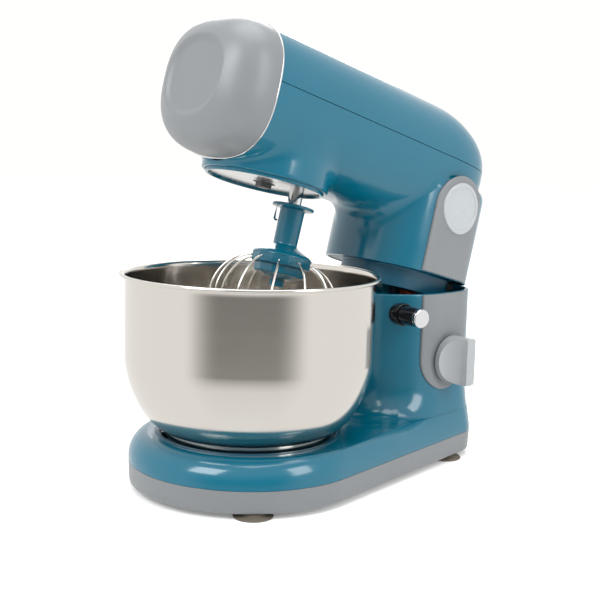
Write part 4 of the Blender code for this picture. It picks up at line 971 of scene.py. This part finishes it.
def wire_path(swell, depth, azimuth, steps=150):
    """Route of one loop: out of the hub, down in a quarter wave to its widest, and round.

    Down to the shoulder the radius grows as sin^0.9 and the drop as (1 - cos)^0.8 of a
    quarter turn; below it the wire is half an ellipse.
    """
    start, socket, shoulder = 28.7 * MM, 51 * MM, 86 * MM
    t = np.linspace(0, math.pi / 2, steps)
    radius = start + (swell - start) * np.sin(t) ** 0.9
    drop = socket + (shoulder - socket) * (1 - np.cos(t)) ** 0.8
    turn = np.linspace(0, math.pi, steps)[1:-1]
    radius = np.concatenate([radius, swell * np.cos(turn), -radius[::-1]])
    drop = np.concatenate([drop, shoulder + (depth - shoulder) * np.sin(turn), drop[::-1]])
    path = np.stack([radius, drop], axis=1)
    for _ in range(12):
        path[1:-1] = 0.5 * path[1:-1] + 0.25 * (path[:-2] + path[2:])
    travelled = np.concatenate([[0], np.cumsum(np.hypot(*np.diff(path, axis=0).T))])
    wanted = np.linspace(0, travelled[-1], 160)
    radius = np.interp(wanted, travelled, path[:, 0])
    drop = np.interp(wanted, travelled, path[:, 1])
    return np.stack([radius * math.cos(azimuth), radius * math.sin(azimuth), FLANGE_Z - drop], axis=1)


class MIXER_OT_whisk(bpy.types.Operator):
    """Whisk: a blue hub with a flange, a plain tube, a catch and a twelve-sided rim, and its wires"""
    bl_idname = "mixer.whisk"
    bl_label = "Whisk"

    def execute(self, context):
        s = context.scene.mixer
        blue = use("blue_plastic")
        bore = 6.8 * MM
        upper = rounded([
            (bore, -20 * MM), (bore, 0), (19 * MM, 0), (19 * MM, -2.6 * MM), (11.6 * MM, -3.6 * MM),
            (11.2 * MM, -5 * MM)], [0, 0.5 * MM, 0.8 * MM, 0.8 * MM, 1.2 * MM, 0], 6)
        lower = rounded([
            (10.9 * MM, -34.2 * MM), (10.9 * MM, -36 * MM), (13.5 * MM, -38.2 * MM), (24.5 * MM, -43.6 * MM),
            (27 * MM, -46 * MM), (27 * MM, -47 * MM)], [0, 1.5 * MM, 2 * MM, 3 * MM, 0.8 * MM, 0], 6)
        profile = np.vstack([upper, lower]) + (0, FLANGE_Z)
        body = turned("whisk_hub_body", profile, 144, beside, blue)
        settle(body, "whisk", "blue_plastic", "whisk_hub")
        rim = turned("whisk_hub_rim", rounded([
            (24 * MM, -46 * MM), (27.3 * MM, -46.4 * MM), (27.3 * MM, -55 * MM), (23.3 * MM, -55.6 * MM),
            (23.3 * MM, -63 * MM), (13 * MM, -67 * MM), (6.9 * MM, -68 * MM), (6.9 * MM, -74 * MM),
            (0, -74 * MM)],
            [0, 0.8 * MM, 0.8 * MM, 0.8 * MM, 1.2 * MM, 1.5 * MM, 1 * MM, 1.2 * MM, 0], 6) + (0, FLANGE_Z),
            240, beside, blue, sides=12, smooth=22)
        settle(rim, "whisk", "blue_plastic")
        # The catch hangs from the flange beside the tube, on the front left.
        aside, ahead = math.cos(math.radians(227)), math.sin(math.radians(227))
        catch = rounded(
            [(14.5 * MM, -1.5 * MM), (14.5 * MM, -15 * MM), (10.8 * MM, -15.5 * MM)], [0, 2 * MM, 0], 8)
        route = np.array([(aside * r, ahead * r, FLANGE_Z + z) for r, z in catch])
        settle(tube("whisk_hub_catch", route, 1.0 * MM, beside, blue), "whisk", "blue_plastic")
        for i in range(6):
            path = wire_path(s.whisk_swell, (136 - 2.5 * i) * MM, math.pi * (i + 0.5) / 6)
            wire = tube("whisk_loop_%d" % (i + 1), path, 1.0 * MM, beside, use("wire_steel"))
            settle(wire, "whisk", "polished_steel", "whisk_wire_%d" % (i + 1))
        return {"FINISHED"}


class MIXER_OT_bowl(bpy.types.Operator):
    """Buffed steel bowl with a rolled rim, and the foot it locks with"""
    bl_idname = "mixer.bowl"
    bl_label = "Bowl"

    def execute(self, context):
        wall, outer, top = 0.9 * MM, 110 * MM, BOWL_HIGH.z
        low_z, floor_z, foot = 118 * MM, 50.2 * MM, 74 * MM
        turn = np.linspace(0, math.pi / 2, 60)

        def side(reach, drop):
            radius = foot + (reach - foot) * np.cos(turn) ** 1.1976
            return np.stack([radius, low_z - (low_z - floor_z - drop) * np.sin(turn) ** 1.1976], 1)

        rim_turn = np.linspace(math.radians(150), math.radians(-170), 22)
        roll = 1.55 * MM
        rim = np.stack([
            115 * MM - roll + roll * np.cos(rim_turn), top - roll + roll * np.sin(rim_turn)], 1)
        lead = np.linspace(0, 1, 8)[:, None]
        flare = np.array((outer - wall, top - 7 * MM)) * (1 - lead) ** 2 \
            + np.array((outer - wall, top - 0.6 * MM)) * 2 * lead * (1 - lead) + rim[0] * lead ** 2
        back = rim[-1] * (1 - lead) ** 2 + np.array((outer, top - 2.2 * MM)) * 2 * lead * (1 - lead) \
            + np.array((outer, top - 8 * MM)) * lead ** 2
        inner = side(outer - wall, 2 * MM + wall)[::-1]
        profile = np.vstack([
            [(0, floor_z + 2 * MM + wall)], inner, flare, rim[1:], back[1:],
            side(outer, 2 * MM), [(0, floor_z + 2 * MM)]])
        bowl = turned("mixing_bowl", profile, 288, fixed, use("polished_steel"), smooth=60)
        settle(bowl, "bowl", "polished_steel", "bowl")
        ring = turned("bowl_base_ring", rounded([
            (75 * MM, 52.1 * MM), (75 * MM, 46.5 * MM), (70 * MM, 46 * MM), (70 * MM, 38.2 * MM),
            (66 * MM, 38.2 * MM), (66 * MM, 52.1 * MM)], [0, 1 * MM, 1 * MM, 0.7 * MM, 0.7 * MM, 0], 5),
            240, fixed, use("polished_steel"))
        settle(ring, "bowl", "polished_steel", "bowl_foot")
        return {"FINISHED"}


# ------------------------------------------------------------------ carried-over nodes

CARRIED = {
    "bowl_lock_ring": "dark_blue_plastic", "column_deck": "black_plastic", "speed_switch": "black_plastic",
    "control_board": "board_green", "latch_block": "blue_plastic", "safety_switch": "red_plastic",
    "hinge_bracket_right": "dark_steel", "hinge_bracket_left": "dark_steel", "hinge_pin": "chrome",
    "knob_shaft": "dark_steel", "hinge_knuckle": "dark_steel", "motor_stator": "dark_steel",
    "gearbox_plate": "cast_aluminium", "drive_belt": "belt_rubber", "ring_gear": "gear_plastic",
    "spindle_bearing": "bronze", "motor_armature": "bronze", "motor_pulley": "cast_aluminium",
    "main_spindle": "dark_steel", "large_pulley": "cast_aluminium", "planet_gear": "gear_plastic",
}


class MIXER_OT_inner(bpy.types.Operator):
    """Finishes for the inner parts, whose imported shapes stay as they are"""
    bl_idname = "mixer.inner"
    bl_label = "Inner Parts"

    def execute(self, context):
        for name, slot in CARRIED.items():
            obj = frame["nodes"][name]
            obj.data.materials.clear()
            obj.data.materials.append(use(slot))
        return {"FINISHED"}


# ------------------------------------------------------------------ stage

def area_light(name, where, target, size, power):
    light = bpy.data.lights.new(name, "AREA")
    light.shape = "RECTANGLE"
    light.size, light.size_y = size
    light.energy = power
    obj = bpy.data.objects.new(name, light)
    obj.location = where
    obj.rotation_euler = (Vector(target) - Vector(where)).to_track_quat("-Z", "Y").to_euler()
    bpy.context.scene.collection.objects.link(obj)


class MIXER_OT_stage(bpy.types.Operator):
    """Pale floor, soft lights and the camera"""
    bl_idname = "mixer.stage"
    bl_label = "Stage"

    def execute(self, context):
        scene = context.scene
        s = scene.mixer
        # A floor of 12 m square, in eight by eight tiles.
        lines = 9
        span = np.linspace(-6, 6, lines)
        x, y = np.meshgrid(span, span)
        points = np.stack([x, y, 0 * x], -1)
        material, _, shader = base_material("matt_white_card", (0.93, 0.93, 0.93, 1), 0.9)
        shader.inputs["Emission Color"].default_value = (1, 1, 1, 1)
        shader.inputs["Emission Strength"].default_value = 0.14
        floor = solid_mesh("floor", points, grid_faces(lines, lines, False), material)
        floor.visible_glossy = False
        world = bpy.data.worlds.new("soft_room")
        scene.world = world
        world.use_nodes = True
        tree = world.node_tree
        back = tree.nodes["Background"]
        look = add(tree, "ShaderNodeTexCoord").outputs["Generated"]
        axes = add(tree, "ShaderNodeSeparateXYZ", {"Vector": look})
        height = add(tree, "ShaderNodeMapRange", {
            "Value": axes.outputs["Z"], "From Min": -1.0, "From Max": 1.0})
        ramp = add(tree, "ShaderNodeValToRGB", {"Fac": height.outputs["Result"]})
        stops = ramp.color_ramp.elements
        stops[0].position, stops[0].color = 0.0, linear("FFFFFF")
        stops[1].position, stops[1].color = 1.0, linear("FFFFFF")
        for place, code in (
                (0.24, "F4F3F1"), (0.40, "8E8D8A"), (0.48, "7C7B79"), (0.58, "989794"), (0.80, "F4F4F3")):
            stops.new(place).color = linear(code)
        flat = add(tree, "ShaderNodeCombineXYZ", {"X": axes.outputs["X"], "Y": axes.outputs["Y"]})
        unit = add(tree, "ShaderNodeVectorMath", {0: flat.outputs["Vector"]}, operation="NORMALIZE")
        ahead = Vector((math.sin(math.radians(47)), -math.cos(math.radians(47)), 0))
        facing = add(tree, "ShaderNodeVectorMath", {
            0: unit.outputs["Vector"], 1: ahead}, operation="DOT_PRODUCT")
        front = add(tree, "ShaderNodeMapRange", {
            "Value": facing.outputs["Value"], "From Min": 0.52, "From Max": 0.92},
            interpolation_type="SMOOTHSTEP")
        mix = add(tree, "ShaderNodeMix", {
            "Factor": front.outputs["Result"], 6: linear("FFFEFC"), 7: ramp.outputs["Color"]},
            data_type="RGBA")
        tree.links.new(mix.outputs[2], back.inputs["Color"])
        back.inputs["Strength"].default_value = 1.02
        middle = (0, -0.02, 0.2)
        area_light("key_softbox", (0.1, -1.7, 1.5), middle, (1.0, 1.0), 22)
        area_light("side_softbox", (1.9, 0.3, 1.1), middle, (0.7, 1.2), 14)
        area_light("top_softbox", (0.0, 0.1, 1.9), middle, (1.4, 1.4), 18)
        area_light("rear_softbox", (-1.4, 1.2, 1.2), middle, (1.0, 1.0), 14)
        camera = bpy.data.cameras.new("camera")
        camera.lens, camera.sensor_width = s.lens, 36
        camera.clip_start, camera.clip_end = 0.05, 40
        obj = bpy.data.objects.new("camera", camera)
        scene.collection.objects.link(obj)
        heading, pitch, roll = (math.radians(angle) for angle in CAMERA_TURN)
        forward = Vector((-math.sin(heading), math.cos(heading), 0))
        right = Vector((math.cos(heading), math.sin(heading), 0))
        up = Vector((0, 0, 1))
        ahead = forward * math.cos(pitch) - up * math.sin(pitch)
        above = up * math.cos(pitch) + forward * math.sin(pitch)
        side = right * math.cos(roll) + above * math.sin(roll)
        above = above * math.cos(roll) - right * math.sin(roll)
        matrix = Matrix((side, above, -ahead)).transposed().to_4x4()
        place_x, place_y, place_z = CAMERA_PLACE
        matrix.translation = Vector((place_x, place_y + BOWL_Y, place_z))
        obj.matrix_world = matrix
        scene.camera = obj
        scene.view_settings.view_transform = "Standard"
        return {"FINISHED"}


# ------------------------------------------------------------------ panel and running

class MixerSettings(bpy.types.PropertyGroup):
    """Sizes and colours a user may change before building."""
    head_half_width: FloatProperty(
        name="Head Half Width", description="Half the width of the head's barrel",
        default=60 * MM, min=55 * MM, max=60 * MM, subtype="DISTANCE", unit="LENGTH")
    head_half_height: FloatProperty(
        name="Head Half Height", description="Half the height of the head's barrel",
        default=59 * MM, min=54 * MM, max=59 * MM, subtype="DISTANCE", unit="LENGTH")
    whisk_swell: FloatProperty(
        name="Whisk Swell", description="Radius of the whisk at its widest",
        default=57 * MM, min=45 * MM, max=57 * MM, subtype="DISTANCE", unit="LENGTH")
    lens: FloatProperty(
        name="Lens", description="Focal length of the camera in millimetres",
        default=67.13, min=20, max=200)
    body_color: FloatVectorProperty(
        name="Body Colour", description="Colour of the gloss housing", subtype="COLOR", size=3,
        default=linear("006078")[:3], min=0, max=1)
    panel_color: FloatVectorProperty(
        name="Panel Colour", description="Colour of the satin panels, nose cap and base band",
        subtype="COLOR", size=3, default=linear("777B7E")[:3], min=0, max=1)


STEPS = ("base", "panels", "controls", "head", "drive", "whisk", "bowl", "inner", "stage")


class MIXER_PT_panel(bpy.types.Panel):
    """Lists the mixer's settings and its building steps"""
    bl_label = "Stand Mixer"
    bl_idname = "MIXER_PT_panel"
    bl_space_type = "VIEW_3D"
    bl_region_type = "UI"
    bl_category = "Mixer"

    def draw(self, context):
        settings = context.scene.mixer
        for key in MixerSettings.__annotations__:
            self.layout.prop(settings, key)
        for step in STEPS:
            self.layout.operator("mixer." + step)


CLASSES = (
    MixerSettings, MIXER_OT_base, MIXER_OT_panels, MIXER_OT_controls, MIXER_OT_head, MIXER_OT_drive,
    MIXER_OT_whisk, MIXER_OT_bowl, MIXER_OT_inner, MIXER_OT_stage, MIXER_PT_panel)


def register():
    for cls in CLASSES:
        bpy.utils.register_class(cls)
    bpy.types.Scene.mixer = PointerProperty(type=MixerSettings)


def unregister():
    del bpy.types.Scene.mixer
    for cls in reversed(CLASSES):
        bpy.utils.unregister_class(cls)


def main():
    register()
    for step in STEPS:
        getattr(bpy.ops.mixer, step)()


if __name__ == "__main__":
    main()
